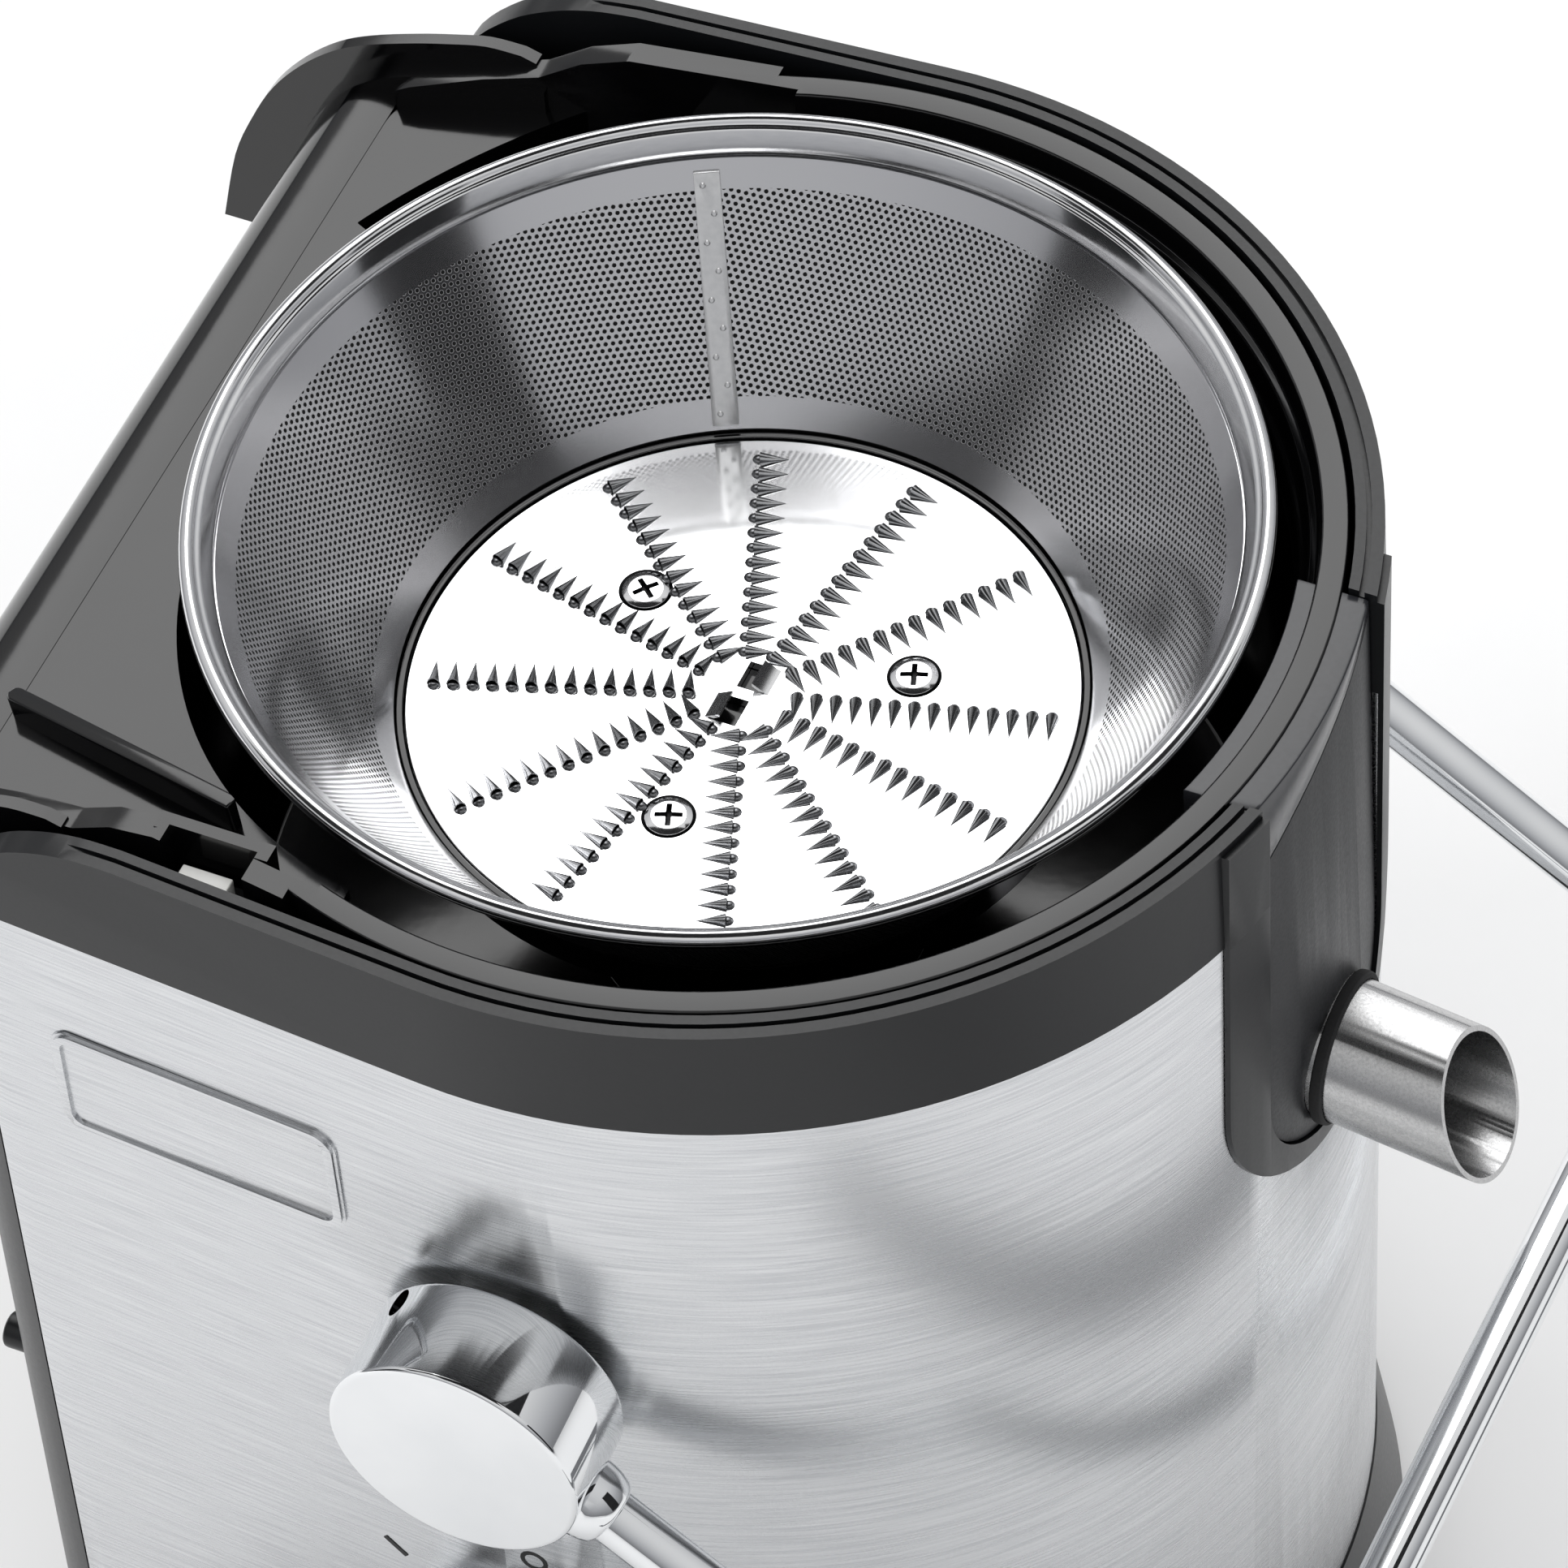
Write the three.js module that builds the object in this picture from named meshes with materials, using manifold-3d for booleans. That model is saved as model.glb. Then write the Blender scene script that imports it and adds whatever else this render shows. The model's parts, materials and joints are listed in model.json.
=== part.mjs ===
import * as THREE from "three";
import { mergeVertices } from "three/addons/utils/BufferGeometryUtils.js";
import Module from "manifold-3d";

const wasm = await Module();
wasm.setup();

// ---------------------------------------------------------------- driving sizes (mm)
const BASKET_R = 80; // filter basket, outer edge of the rim
const RIM_Z = 250; // rim plane of the basket above the table
const DISC_R = 50.2; // cutting disc
const DISC_DROP = 41.3; // disc face below the rim plane
const BODY_R = 95.4; // round end of the body at the collar
const DRAW_IN = 4.2; // the round end narrows this much down to the foot
const LEFT_PAST = 0.1; // flat left side beyond the radius of the round end
const BODY_CORNER = 16; // vertical left corners
const BODY_TAPER = 3.8; // degrees each long side closes towards the left
const COLLAR_H = 22; // dark band round the top
const SKIRT_TOP = 29; // bottom edge of the steel
const STEEL_T = 0.9;
const SPOUT_R = 11;
const SPOUT_DROP = 81; // spout axis below the rim, where it leaves the panel
const SPOUT_TILT = 9; // degrees down
const SPOUT_PROUD = 21.6; // middle of the spout mouth beyond the body
const SPOUT_CUT = 20; // degrees the mouth leans out at the bottom
const BAIL_X = 1; // bail pivot
const BAIL_DROP = 90; // bail pivot below the rim plane
const BAIL_PAST = 21; // crossbar beyond the middle of the spout mouth
const BAIL_CLEAR = 7.6; // arms beyond the side of the body
const BAIL_ROD_R = 4.3;
const BAIL_DROOP = 36.5; // degrees below level when hanging open
const BOSS_R = 20;
const BOSS_T = 17.3;
const KNOB_Z = 76;
const KNOB_R = 25;
const LIP_PROUD = 11.5; // chute lip beyond the flat left side
const LIP_R = 16;
const WING_PROUD = 20.4; // tips of the chute cheeks beyond the lip
const FINE = 38; // facets round the basket and bowl
const ROUND = 24; // facets round a large circle
const GAP = 0.2; // between pieces that rest on each other
const RUN = 0.05; // running clearance on turning shafts

// ---------------------------------------------------------------- sizes that follow
const DISC_Z = RIM_Z - DISC_DROP;
const ABOVE = RIM_Z + 50; // cuts that run out of the top end here
const UNDER = RIM_Z - 50; // and those that stay in the top part start here
const BODY_R_FOOT = BODY_R - DRAW_IN;
const SPOUT_REACH = BODY_R + SPOUT_PROUD;
const BAIL_ARM = SPOUT_REACH + BAIL_PAST; // pivot to crossbar
const BAIL_HALF = BODY_R + BAIL_CLEAR; // arms, each side of the middle
const BODY_LEFT = BODY_R + LEFT_PAST;
const LIP_X = BODY_LEFT + LIP_PROUD;
const WING_X = LIP_X + WING_PROUD;
const LEFT_CUT = BODY_LEFT - 11.5; // where the steel ends and the side panel starts
const COLLAR_TOP = RIM_Z - 3;
const COLLAR_BOTTOM = COLLAR_TOP - COLLAR_H;
const COLLAR_IN_R = BODY_R - 4.3;
const HOUSING_TOP = COLLAR_BOTTOM - 2.7;
const PANEL_TOP = COLLAR_BOTTOM - 3.5;
const RIDGE_R = COLLAR_IN_R - 0.9; // outside of the collector's top edge
const RIDGE_W = 4;
const DECK_Z = 152; // top of the motor deck
const BOWL_FLOOR = DECK_Z + 4;
const BOWL_R = RIDGE_R - 5.7;
const SPOUT_Z = RIM_Z - SPOUT_DROP;
const SLOT_HALF = 21.5;
const SLOT_BOTTOM = SPOUT_Z - SPOUT_R - 1.6;
const BAIL_Z = RIM_Z - BAIL_DROP;
const BOSS_BACK = BODY_R - 0.2;
const BOSS_FACE = BOSS_BACK + BOSS_T;
const MOTOR_TOP = DECK_Z - 11;
const SOCKET_TOP = DISC_Z - 10.5;
const RIM_DEPTH = 4.6;
const tan = (deg) => Math.tan(THREE.MathUtils.degToRad(deg));
const sin = (deg) => Math.sin(THREE.MathUtils.degToRad(deg));
const cos = (deg) => Math.cos(THREE.MathUtils.degToRad(deg));
const SPOUT_ROOT_X = BODY_R - 2;
const spoutAxisZ = (x) => SPOUT_Z - (x - SPOUT_ROOT_X) * tan(SPOUT_TILT);
const SPOUT_TIP_X = SPOUT_REACH + (SPOUT_R * sin(SPOUT_CUT)) / cos(SPOUT_CUT + SPOUT_TILT);
const CENTRE_X = (WING_X - SPOUT_TIP_X) / 2; // basket axis in the part's frame
const bodyR = (z) => {
  const t = (z - SKIRT_TOP) / (COLLAR_BOTTOM - SKIRT_TOP);
  return BODY_R_FOOT + (BODY_R - 0.3 - BODY_R_FOOT) * t;
};

// ---------------------------------------------------------------- finishes
const finish = (name, color, roughness, metalness = 0) =>
  new THREE.MeshStandardMaterial({ name, color, roughness, metalness });
const glossBlack = finish("gloss_black_plastic", 0x17181a, 0.16);
const satinBlack = finish("satin_black_plastic", 0x2b2c2f, 0.5);
const brushed = finish("brushed_steel", 0xc6c8cb, 0.34, 1);
const polished = finish("polished_steel", 0xdedfe1, 0.14, 1);
const chrome = finish("chrome", 0xe4e6e8, 0.06, 1);
const rubber = finish("black_rubber", 0x1b1b1c, 0.85);
const white = finish("white_plastic", 0xe9e9e6, 0.4);
const zinc = finish("zinc_steel", 0xb4b6b8, 0.4, 1);
const copper = finish("copper_wire", 0xb06a35, 0.42, 1);
const iron = finish("iron_laminations", 0x6d6f73, 0.5, 1);
const carbon = finish("carbon", 0x2e2e30, 0.7);
const brass = finish("brass", 0xc0a25a, 0.3, 1);

// ---------------------------------------------------------------- helpers
function solid(geometry) {
  const bare = geometry.clone();
  bare.deleteAttribute("normal");
  bare.deleteAttribute("uv");
  const welded = mergeVertices(bare, 1e-4);
  const mesh = new wasm.Mesh({
    numProp: 3,
    vertProperties: new Float32Array(welded.attributes.position.array),
    triVerts: new Uint32Array(welded.index.array),
  });
  return new wasm.Manifold(mesh);
}

function geometryOf(body) {
  const mesh = body.getMesh();
  const geometry = new THREE.BufferGeometry();
  geometry.setAttribute("position", new THREE.BufferAttribute(new Float32Array(mesh.vertProperties), 3));
  geometry.setIndex(new THREE.BufferAttribute(new Uint32Array(mesh.triVerts), 1));
  return geometry;
}

const group = new THREE.Group();
group.name = "centrifugal_juicer";

function add(name, body, material) {
  const geometry = geometryOf(body);
  geometry.translate(CENTRE_X, 0, 0);
  geometry.computeVertexNormals();
  const mesh = new THREE.Mesh(geometry, material.clone());
  mesh.name = name;
  group.add(mesh);
}

function prism(points, z0, z1) {
  const shape = new THREE.Shape(points.map(([x, y]) => new THREE.Vector2(x, y)));
  const geometry = new THREE.ExtrudeGeometry(shape, { depth: z1 - z0, bevelEnabled: false });
  return solid(geometry).translate([0, 0, z0]);
}

// points are (x, z); the solid runs from y0 to y1
function sidePrism(points, y0, y1) {
  return prism(points, 0, y1 - y0).rotate([90, 0, 0]).translate([0, y1, 0]);
}

// profile points are (radius, z): a closed loop, or a line from axis to axis
function revolve(profile, segments = ROUND) {
  const area = profile.reduce((sum, [r, z], i) => {
    const [r2, z2] = profile[(i + 1) % profile.length];
    return sum + r * z2 - r2 * z;
  }, 0);
  const ordered = area > 0 ? profile : [...profile].reverse();
  const points = ordered.map(([r, z]) => new THREE.Vector2(r, z));
  if (ordered[0][0] > 0.001) points.push(points[0].clone());
  return solid(new THREE.LatheGeometry(points, segments)).rotate([90, 0, 0]);
}

const tube = (rIn, rOut, z0, z1, segments = ROUND) =>
  revolve([[rIn, z0], [rOut, z0], [rOut, z1], [rIn, z1]], segments);

const rod = (r, z0, z1, segments = 20) =>
  revolve([[0, z0], [r, z0], [r, z1], [0, z1]], segments);

// a rod along Y through (x, z)
const crossRod = (r, x, z, y0, y1, segments = 20) =>
  rod(r, 0, y1 - y0, segments).rotate([-90, 0, 0]).translate([x, y0, z]);

function box(x0, x1, y0, y1, z0, z1) {
  const geometry = new THREE.BoxGeometry(x1 - x0, y1 - y0, z1 - z0);
  return solid(geometry).translate([(x0 + x1) / 2, (y0 + y1) / 2, (z0 + z1) / 2]);
}

const ring = (cx, cy, r, from, to, steps) =>
  Array.from({ length: steps + 1 }, (_, i) => {
    const a = from + ((to - from) * i) / steps;
    return [cx + r * cos(a), cy + r * sin(a)];
  });

// plan of the body: a round right end, sides closing to the left, rounded left corners
function plan(r, left = BODY_LEFT, corner = BODY_CORNER, taper = BODY_TAPER, steps = ROUND) {
  const a = 90 + taper;
  const cx = -left + corner;
  const cy = (r - corner - cx * cos(a)) / sin(a);
  return [
    ...ring(0, 0, r, -a, a, steps),
    ...ring(cx, cy, corner, a, 180, 4),
    ...ring(cx, -cy, corner, 180, 360 - a, 4),
  ];
}

const inset = (r, t, left = BODY_LEFT, corner = BODY_CORNER, taper = BODY_TAPER, steps = ROUND) =>
  plan(r - t, left - t, Math.max(corner - t, 1), taper, steps);

// a solid between two plans with the same number of points
function loft(low, z0, high, z1) {
  const n = low.length;
  const positions = [...low.map(([x, y]) => [x, y, z0]), ...high.map(([x, y]) => [x, y, z1])];
  const index = [];
  for (let i = 0; i < n; i++) {
    const j = (i + 1) % n;
    index.push(i, j, n + j, i, n + j, n + i);
  }
  const flat = low.map(([x, y]) => new THREE.Vector2(x, y));
  for (const [a, b, c] of THREE.ShapeUtils.triangulateShape(flat, [])) {
    index.push(c, b, a, n + a, n + b, n + c);
  }
  const geometry = new THREE.BufferGeometry();
  geometry.setAttribute("position", new THREE.Float32BufferAttribute(positions.flat(), 3));
  geometry.setIndex(index);
  return solid(geometry);
}

// the wall of the body between two heights, grown outwards by `out` and `t` thick
function bodyWall(z0, z1, out, t) {
  const grown = (z) => plan(bodyR(z) + out, BODY_LEFT + out, BODY_CORNER + out);
  const inner = (z) => plan(bodyR(z) + out - t, BODY_LEFT + out - t, BODY_CORNER + out - t);
  return loft(grown(z0), z0, grown(z1), z1).subtract(loft(inner(z0 - 1), z0 - 1, inner(z1 + 1), z1 + 1));
}

// U-shaped block along X, open at the top, for the spout slot
function slotBlock(half, bottom, top, x0 = 60, x1 = 130) {
  const outline = [[half, top], [-half, top], ...ring(0, bottom + half, half, 180, 360, 16)];
  return prism(outline, 0, x1 - x0).rotate([90, 0, 90]).translate([x0, 0, 0]);
}

const both = (make) => [make(1), make(-1)];

// ---------------------------------------------------------------- base: outer shell
const corners = (right, rightY, left, leftY) =>
  [[right, rightY], [right, -rightY], [-left, leftY], [-left, -leftY]];
const FEET = corners(BODY_R - 25.4, BODY_R - 50.4, BODY_LEFT - 19.5, BODY_R - 37.4);
const SCREWS = corners(BODY_R - 45.4, BODY_R - 29.4, BODY_LEFT - 39.5, BODY_R - 21.4);
const GLAND_X = -30;
const GLAND_Z = 17;

function skirt() {
  const low = (t) => plan(BODY_R - t, BODY_LEFT + 2 - t, BODY_CORNER + 2 - t);
  const high = (t) => plan(BODY_R_FOOT + 0.3 - t, BODY_LEFT - t, BODY_CORNER - t);
  let body = loft(low(0), 2, high(0), SKIRT_TOP).subtract(loft(low(2.6), 1, high(2.6), SKIRT_TOP + 1));
  for (const [x, y] of SCREWS) {
    const side = Math.sign(y);
    const boss = rod(4.5, 8.2, 22, 20).translate([x, y, 0]);
    const reach = BODY_R - 7.4;
    const web = box(x - 1, x + 1, side > 0 ? y : -reach, side > 0 ? reach : y, 12, 20);
    body = body.add(boss.add(web.intersect(loft(low(1), 2, high(1), SKIRT_TOP))));
    body = body.subtract(rod(1.9, 7, 19, 16).translate([x, y, 0]));
  }
  return body.subtract(crossRod(6.3, GLAND_X, GLAND_Z, BODY_R - 25, BODY_R + 5, 24));
}

function tray() {
  let body = prism(inset(BODY_R - 0.4, 3.4, BODY_LEFT + 1), 4, 8);
  for (let i = -4; i <= 4; i++) {
    body = body.subtract(box(-26, 26, i * 8 - 1.8, i * 8 + 1.8, 3, 9));
  }
  for (const [x, y] of SCREWS) {
    body = body.subtract(rod(2.3, 3, 9, 16).translate([x, y, 0]));
  }
  return body;
}

function wrap() {
  let body = bodyWall(SKIRT_TOP + 0.3, COLLAR_BOTTOM, 0, STEEL_T);
  body = body.subtract(box(-120, -LEFT_CUT, -120, 120, 0, ABOVE));
  body = body.subtract(slotBlock(SLOT_HALF + 1, SLOT_BOTTOM - 1, ABOVE));
  body = body.subtract(crossRod(10.2, BAIL_X, BAIL_Z, -120, 120));
  return body.subtract(crossRod(5.6, BAIL_X, KNOB_Z, -120, 0, 24));
}

function sidePanel() {
  let body = bodyWall(SKIRT_TOP + 0.3, PANEL_TOP, 0, 2.2);
  body = body.intersect(box(-120, -LEFT_CUT - 0.3, -120, 120, 0, ABOVE));
  for (const side of [1, -1]) {
    const stud = rod(3, 0, 6, 16).rotate([0, -90, 0]).translate([-BODY_LEFT + 2.6, side * 74, 95]);
    body = body.add(stud);
  }
  for (let i = 0; i < 6; i++) {
    body = body.subtract(box(-120, -84, -30, 30, 48 + i * 7, 51 + i * 7));
  }
  return body;
}

const PLUNGER = { x: -44, y: 10.4 - BODY_R, w: 8, d: 4 };

function collar() {
  const band = (r, t, z0, z1) =>
    prism(plan(r, BODY_LEFT, BODY_CORNER), z0, z1).subtract(
      prism(inset(r, t), z0 - 1, z1 + 1),
    );
  const wall = BODY_R - COLLAR_IN_R;
  const top = loft(plan(BODY_R), COLLAR_TOP - 1.2, inset(BODY_R, 1), COLLAR_TOP)
    .subtract(prism(inset(BODY_R, wall), COLLAR_TOP - 2, COLLAR_TOP + 1));
  let body = band(BODY_R, wall, COLLAR_BOTTOM + 0.2, COLLAR_TOP - 1.2).add(top);
  body = body.add(
    prism(inset(BODY_R, 1.6), HOUSING_TOP + GAP, COLLAR_BOTTOM + 0.3).subtract(
      prism(inset(BODY_R, wall), HOUSING_TOP - 1, COLLAR_BOTTOM + 1),
    ),
  );
  const fall = [
    [-55, COLLAR_TOP], [-62, COLLAR_TOP - 0.8], [-69, COLLAR_TOP - 3], [-76, COLLAR_TOP - 7],
    [-83, COLLAR_TOP - 14], [-86.5, COLLAR_TOP - 22], [-87, PANEL_TOP - 2], [-140, PANEL_TOP - 2],
    [-140, ABOVE - 20], [-55, ABOVE - 20],
  ];
  body = body.subtract(sidePrism(fall, -130, 130));
  const hug = bodyWall(SLOT_BOTTOM - 6, COLLAR_BOTTOM + 1, 1, 0.85)
    .add(bodyWall(COLLAR_BOTTOM + GAP, COLLAR_TOP - 1.4, 1, 3));
  body = body.add(hug.intersect(slotBlock(SLOT_HALF + 9, SLOT_BOTTOM - 3.3, RIM_Z + 10)));
  body = body.subtract(slotBlock(SLOT_HALF, SLOT_BOTTOM, RIM_Z + 30));
  const { x, y, w, d } = PLUNGER;
  const half = w / 2 + 2;
  const guide = box(x - half, x + half, y - 3.5, y + d / 2 + 1.6, COLLAR_BOTTOM - 9, COLLAR_TOP - 9);
  const bore = box(x - w / 2 - 0.3, x + w / 2 + 0.3, y - d / 2 - 0.3, y + d / 2 + 0.3, UNDER, RIM_Z + 10);
  return body.add(guide).subtract(bore);
}

function housing() {
  const outer = (z) => plan(bodyR(z) - STEEL_T - 0.35, BODY_LEFT - 2.6, BODY_CORNER - 2.6);
  const inner = (z) => plan(bodyR(z) - 3.6, BODY_LEFT - 4.5, BODY_CORNER - 4.5);
  const tuck = (z) => plan(bodyR(z) - 2.5, BODY_LEFT - 2.6, BODY_CORNER - 2.6);
  const low = 112;
  let body = loft(outer(low), low, outer(HOUSING_TOP), HOUSING_TOP).subtract(
    loft(inner(low - 1), low - 1, inner(HOUSING_TOP + 1), HOUSING_TOP + 1),
  );
  const behind = loft(tuck(low), low, tuck(HOUSING_TOP), HOUSING_TOP);
  body = body.intersect(box(0.2 - LEFT_CUT, 120, -120, 120, 0, ABOVE).add(behind));
  const left = box(-120, -LEFT_CUT, -120, 120, PANEL_TOP - 1, ABOVE);
  body = body.subtract(left).subtract(slotBlock(SLOT_HALF, SLOT_BOTTOM, ABOVE));
  body = body.add(prism(plan(bodyR(DECK_Z) - 2.9, BODY_LEFT - 3, BODY_CORNER - 3), DECK_Z - 4, DECK_Z));
  body = body.add(tube(14, 17.5, DECK_Z - 1, DECK_Z + 7));
  body = body.add(tube(39, 44, MOTOR_TOP + GAP, DECK_Z - 3));
  body = body.subtract(rod(14, 0, 200));
  const { x, y, w } = PLUNGER;
  const side = w / 2 + 2.4;
  body = body.subtract(box(x - side, x + side, y - 3.9, y + 5, COLLAR_BOTTOM - 9.4, ABOVE));
  for (const side of [1, -1]) {
    body = body.subtract(crossRod(9, BAIL_X, BAIL_Z, Math.min(0, side * 120), Math.max(0, side * 120)));
  }
  return body;
}

function badge() {
  const w = 24;
  const h = 11.6;
  const r = 4;
  const outline = [
    ...ring(w - r, h - r, r, 0, 90, 4), ...ring(r - w, h - r, r, 90, 180, 4),
    ...ring(r - w, r - h, r, 180, 270, 4), ...ring(w - r, r - h, r, 270, 360, 4),
  ].map(([x, z]) => [x - 47, z + RIM_Z - 59]);
  return bodyWall(RIM_Z - 75, RIM_Z - 40, 0.9, 0.8).intersect(sidePrism(outline, -110, -60));
}

// ---------------------------------------------------------------- base: motor and switches
const STATOR = { z0: 64, z1: MOTOR_TOP - 31, rOut: 45, rIn: 38, bore: 24.8 };
const CORE_R = STATOR.bore - 0.6;

function stator() {
  const { z0, z1, rOut, rIn, bore } = STATOR;
  let body = tube(rIn, rOut, z0, z1);
  for (const side of [1, -1]) {
    const a = side > 0 ? 0 : 180;
    const shoe = [...ring(0, 0, bore + 2.8, a - 48, a + 48, 12), ...ring(0, 0, bore, a + 48, a - 48, 12)];
    body = body.add(prism(shoe, z0, z1));
    const x0 = side > 0 ? bore + 1.2 : -rIn - 1;
    body = body.add(box(x0, x0 + rIn - bore - 0.2, -9, 9, z0, z1));
  }
  return body;
}

function fieldCoil(side) {
  const { z0, z1, bore } = STATOR;
  const x0 = bore + 3.1;
  const x1 = x0 + 6.6;
  const [a, b] = side > 0 ? [x0, x1] : [-x1, -x0];
  const outer = box(a, b, -13.6, 13.6, z0 - 5.5, z1 + 5.5);
  return outer.subtract(box(a - 1, b + 1, -9.3, 9.3, z0 - 0.3, z1 + 0.3));
}

function bracket(top) {
  const { z0, z1, rOut, rIn } = STATOR;
  const plateZ = top ? MOTOR_TOP - 4 : 30;
  const legs = both((side) => {
    const y0 = side > 0 ? rIn + 0.6 : -rOut + 0.4;
    const [a, b] = top ? [z1 + GAP, plateZ + 1] : [plateZ + 1, z0 - GAP];
    return box(-6, 6, y0, y0 + rOut - rIn - 1, a, b);
  });
  const plate = top ? rod(rOut + 0.5, plateZ, plateZ + 4) : box(-8, 8, -rOut, rOut, plateZ, plateZ + 4);
  const [h0, h1] = top ? [plateZ - 6, plateZ + 4] : [plateZ - 4, plateZ + 6];
  return plate.add(legs[0]).add(legs[1]).add(rod(14, h0, h1)).subtract(rod(11.1, h0 - 1, h1 + 1, 24));
}

const bearing = (z) =>
  revolve([[5 + RUN, z], [11, z], [11, z + 8], [5 + RUN, z + 8]], 24);

function brushHolder(side) {
  const y0 = side > 0 ? 15 : -37.8;
  const body = box(-5, 5, y0, y0 + 22.8, 44, 54);
  const way = box(-3.3, 3.3, y0 - 1, y0 + 24, 45.7, 52.3);
  const [a, b] = side > 0 ? [36, 38.4] : [-38.4, -36];
  return body.subtract(way).add(box(-5, 5, a, b, 44, 54));
}

const brush = (side) => {
  const [a, b] = side > 0 ? [12.3, 30] : [-30, -12.3];
  return box(-3, 3, a, b, 46, 52);
};

const shaftSeal = () =>
  revolve([[5.4, DECK_Z + 1], [13.9, DECK_Z + 1], [13.9, DECK_Z + 6], [9, DECK_Z + 6],
    [5.4, DECK_Z + 3.5]], 24);

function switchBody() {
  const body = box(BAIL_X - 15, BAIL_X + 15, -84, -60, KNOB_Z - 15, KNOB_Z + 15);
  const neck = crossRod(5, BAIL_X, KNOB_Z, -bodyR(KNOB_Z) + STEEL_T + 0.4, -83, 24);
  const tabs = box(BAIL_X - 3, BAIL_X + 3, -61, -54, KNOB_Z - 8, KNOB_Z + 8);
  return body.add(neck).add(tabs).subtract(crossRod(3 + RUN, BAIL_X, KNOB_Z, -110, -78, 24));
}

function microSwitch() {
  const { x, y } = PLUNGER;
  const top = COLLAR_BOTTOM - 18;
  const body = box(x - 10, x + 10, y - 2, y + 3.5, top - 11, top);
  return body.add(box(x - 2, x + 2, y - 1.5, y + 1.5, top - 1, top + 2));
}

function gland() {
  const face = BODY_R + 0.1;
  const body = crossRod(6, GLAND_X, GLAND_Z, face - 12.5, face - 0.9, 24)
    .add(crossRod(8.4, GLAND_X, GLAND_Z, face - 2.2, face, 24));
  return body.subtract(crossRod(3.4, GLAND_X, GLAND_Z, face - 15.5, face + 4.5, 20));
}

// ---------------------------------------------------------------- spindle
function shaft() {
  const top = SOCKET_TOP - 10.2;
  return revolve([[0, 22], [4, 22], [5, 23], [5, top - 1], [4, top], [0, top]], 24);
}

function star(r, lugR, halfW, z0, z1) {
  let body = rod(r, z0, z1);
  for (let i = 0; i < 6; i++) {
    body = body.add(box(0, lugR, -halfW, halfW, z0, z1).rotate([0, 0, i * 60]));
  }
  return body;
}

function coupling() {
  const lugs = star(13, 17, 2.2, DECK_Z + 16, SOCKET_TOP - 0.6);
  return lugs.add(rod(15, DECK_Z + 9, DECK_Z + 16)).subtract(rod(5 + RUN, 100, SOCKET_TOP - 9.6, 24));
}

const onShaft = (body) => body.subtract(rod(5 + RUN, -10, ABOVE, 24));

function windings(z0, z1) {
  const mid = (z0 + z1) / 2;
  return onShaft(revolve([[7, z0], [17, z0], [20.5, mid - 1.5], [20.5, mid + 1.5], [17, z1],
    [7, z1]], 24));
}

function fan() {
  const z = MOTOR_TOP - 22;
  let body = rod(10, z, z + 9).add(rod(34, z, z + 1.5, 30));
  for (let i = 0; i < 9; i++) {
    body = body.add(box(8, 33, -0.8, 0.8, z, z + 9).rotate([0, 0, i * 40]));
  }
  return onShaft(body);
}

// ---------------------------------------------------------------- filter basket
const DISC_SCREWS = [0, 120, 240].map((a) => [25.5 * cos(a + 29), 25.5 * sin(a + 29)]);
const HUB_R = DISC_R + 1.3;
const TOOTH_ROWS = [15.5, 51, 80.5, 111, 140, 167, 199, 230, 258, 291, 319, 349]; // degrees
const TOOTH_R = 8.1; // innermost tooth
const TOOTH_PITCH = 2.93;
const TEETH = Math.floor((DISC_R - 3.5 - TOOTH_R) / TOOTH_PITCH) + 1; // in each row

function basketRim() {
  const top = RIM_Z;
  const r = BASKET_R;
  return revolve([
    [r, top - 1.6], [r - 0.4, top - 0.5], [r - 1.3, top], [r - 2.4, top - 0.4], [r - 3.6, top - 2],
    [r - 5, top - RIM_DEPTH], [r - 4.2, top - RIM_DEPTH - 0.3], [r - 2.2, top - 3], [r - 0.9, top - 3.2],
  ], FINE);
}

function basketCone() {
  const foot = HUB_R + 0.3;
  const low = DISC_Z - 4.6;
  const bend = DISC_Z + 0.8;
  const head = BASKET_R - 5.1;
  const high = RIM_Z - RIM_DEPTH - 0.7;
  return revolve([
    [foot, low], [foot + 1, low], [foot + 1.05, bend - 0.3], [head + 1, high], [head, high], [foot, bend],
  ], FINE);
}

// inner face of the filter cone at a height
function coneR(z) {
  const low = DISC_Z + 0.8;
  const high = RIM_Z - RIM_DEPTH - 0.7;
  return HUB_R + 0.3 + ((BASKET_R - 5.1 - HUB_R - 0.3) * (z - low)) / (high - low);
}

function seamStrip() {
  const [z0, z1] = [DISC_Z + 1.6, RIM_Z - 6.4];
  const strip = revolve([
    [coneR(z0) - 0.85, z0], [coneR(z0) - 0.25, z0], [coneR(z1) - 0.25, z1], [coneR(z1) - 0.85, z1],
  ], FINE);
  return strip.intersect(box(0, 90, -2, 2, 100, ABOVE).rotate([0, 0, 117]));
}

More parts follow.
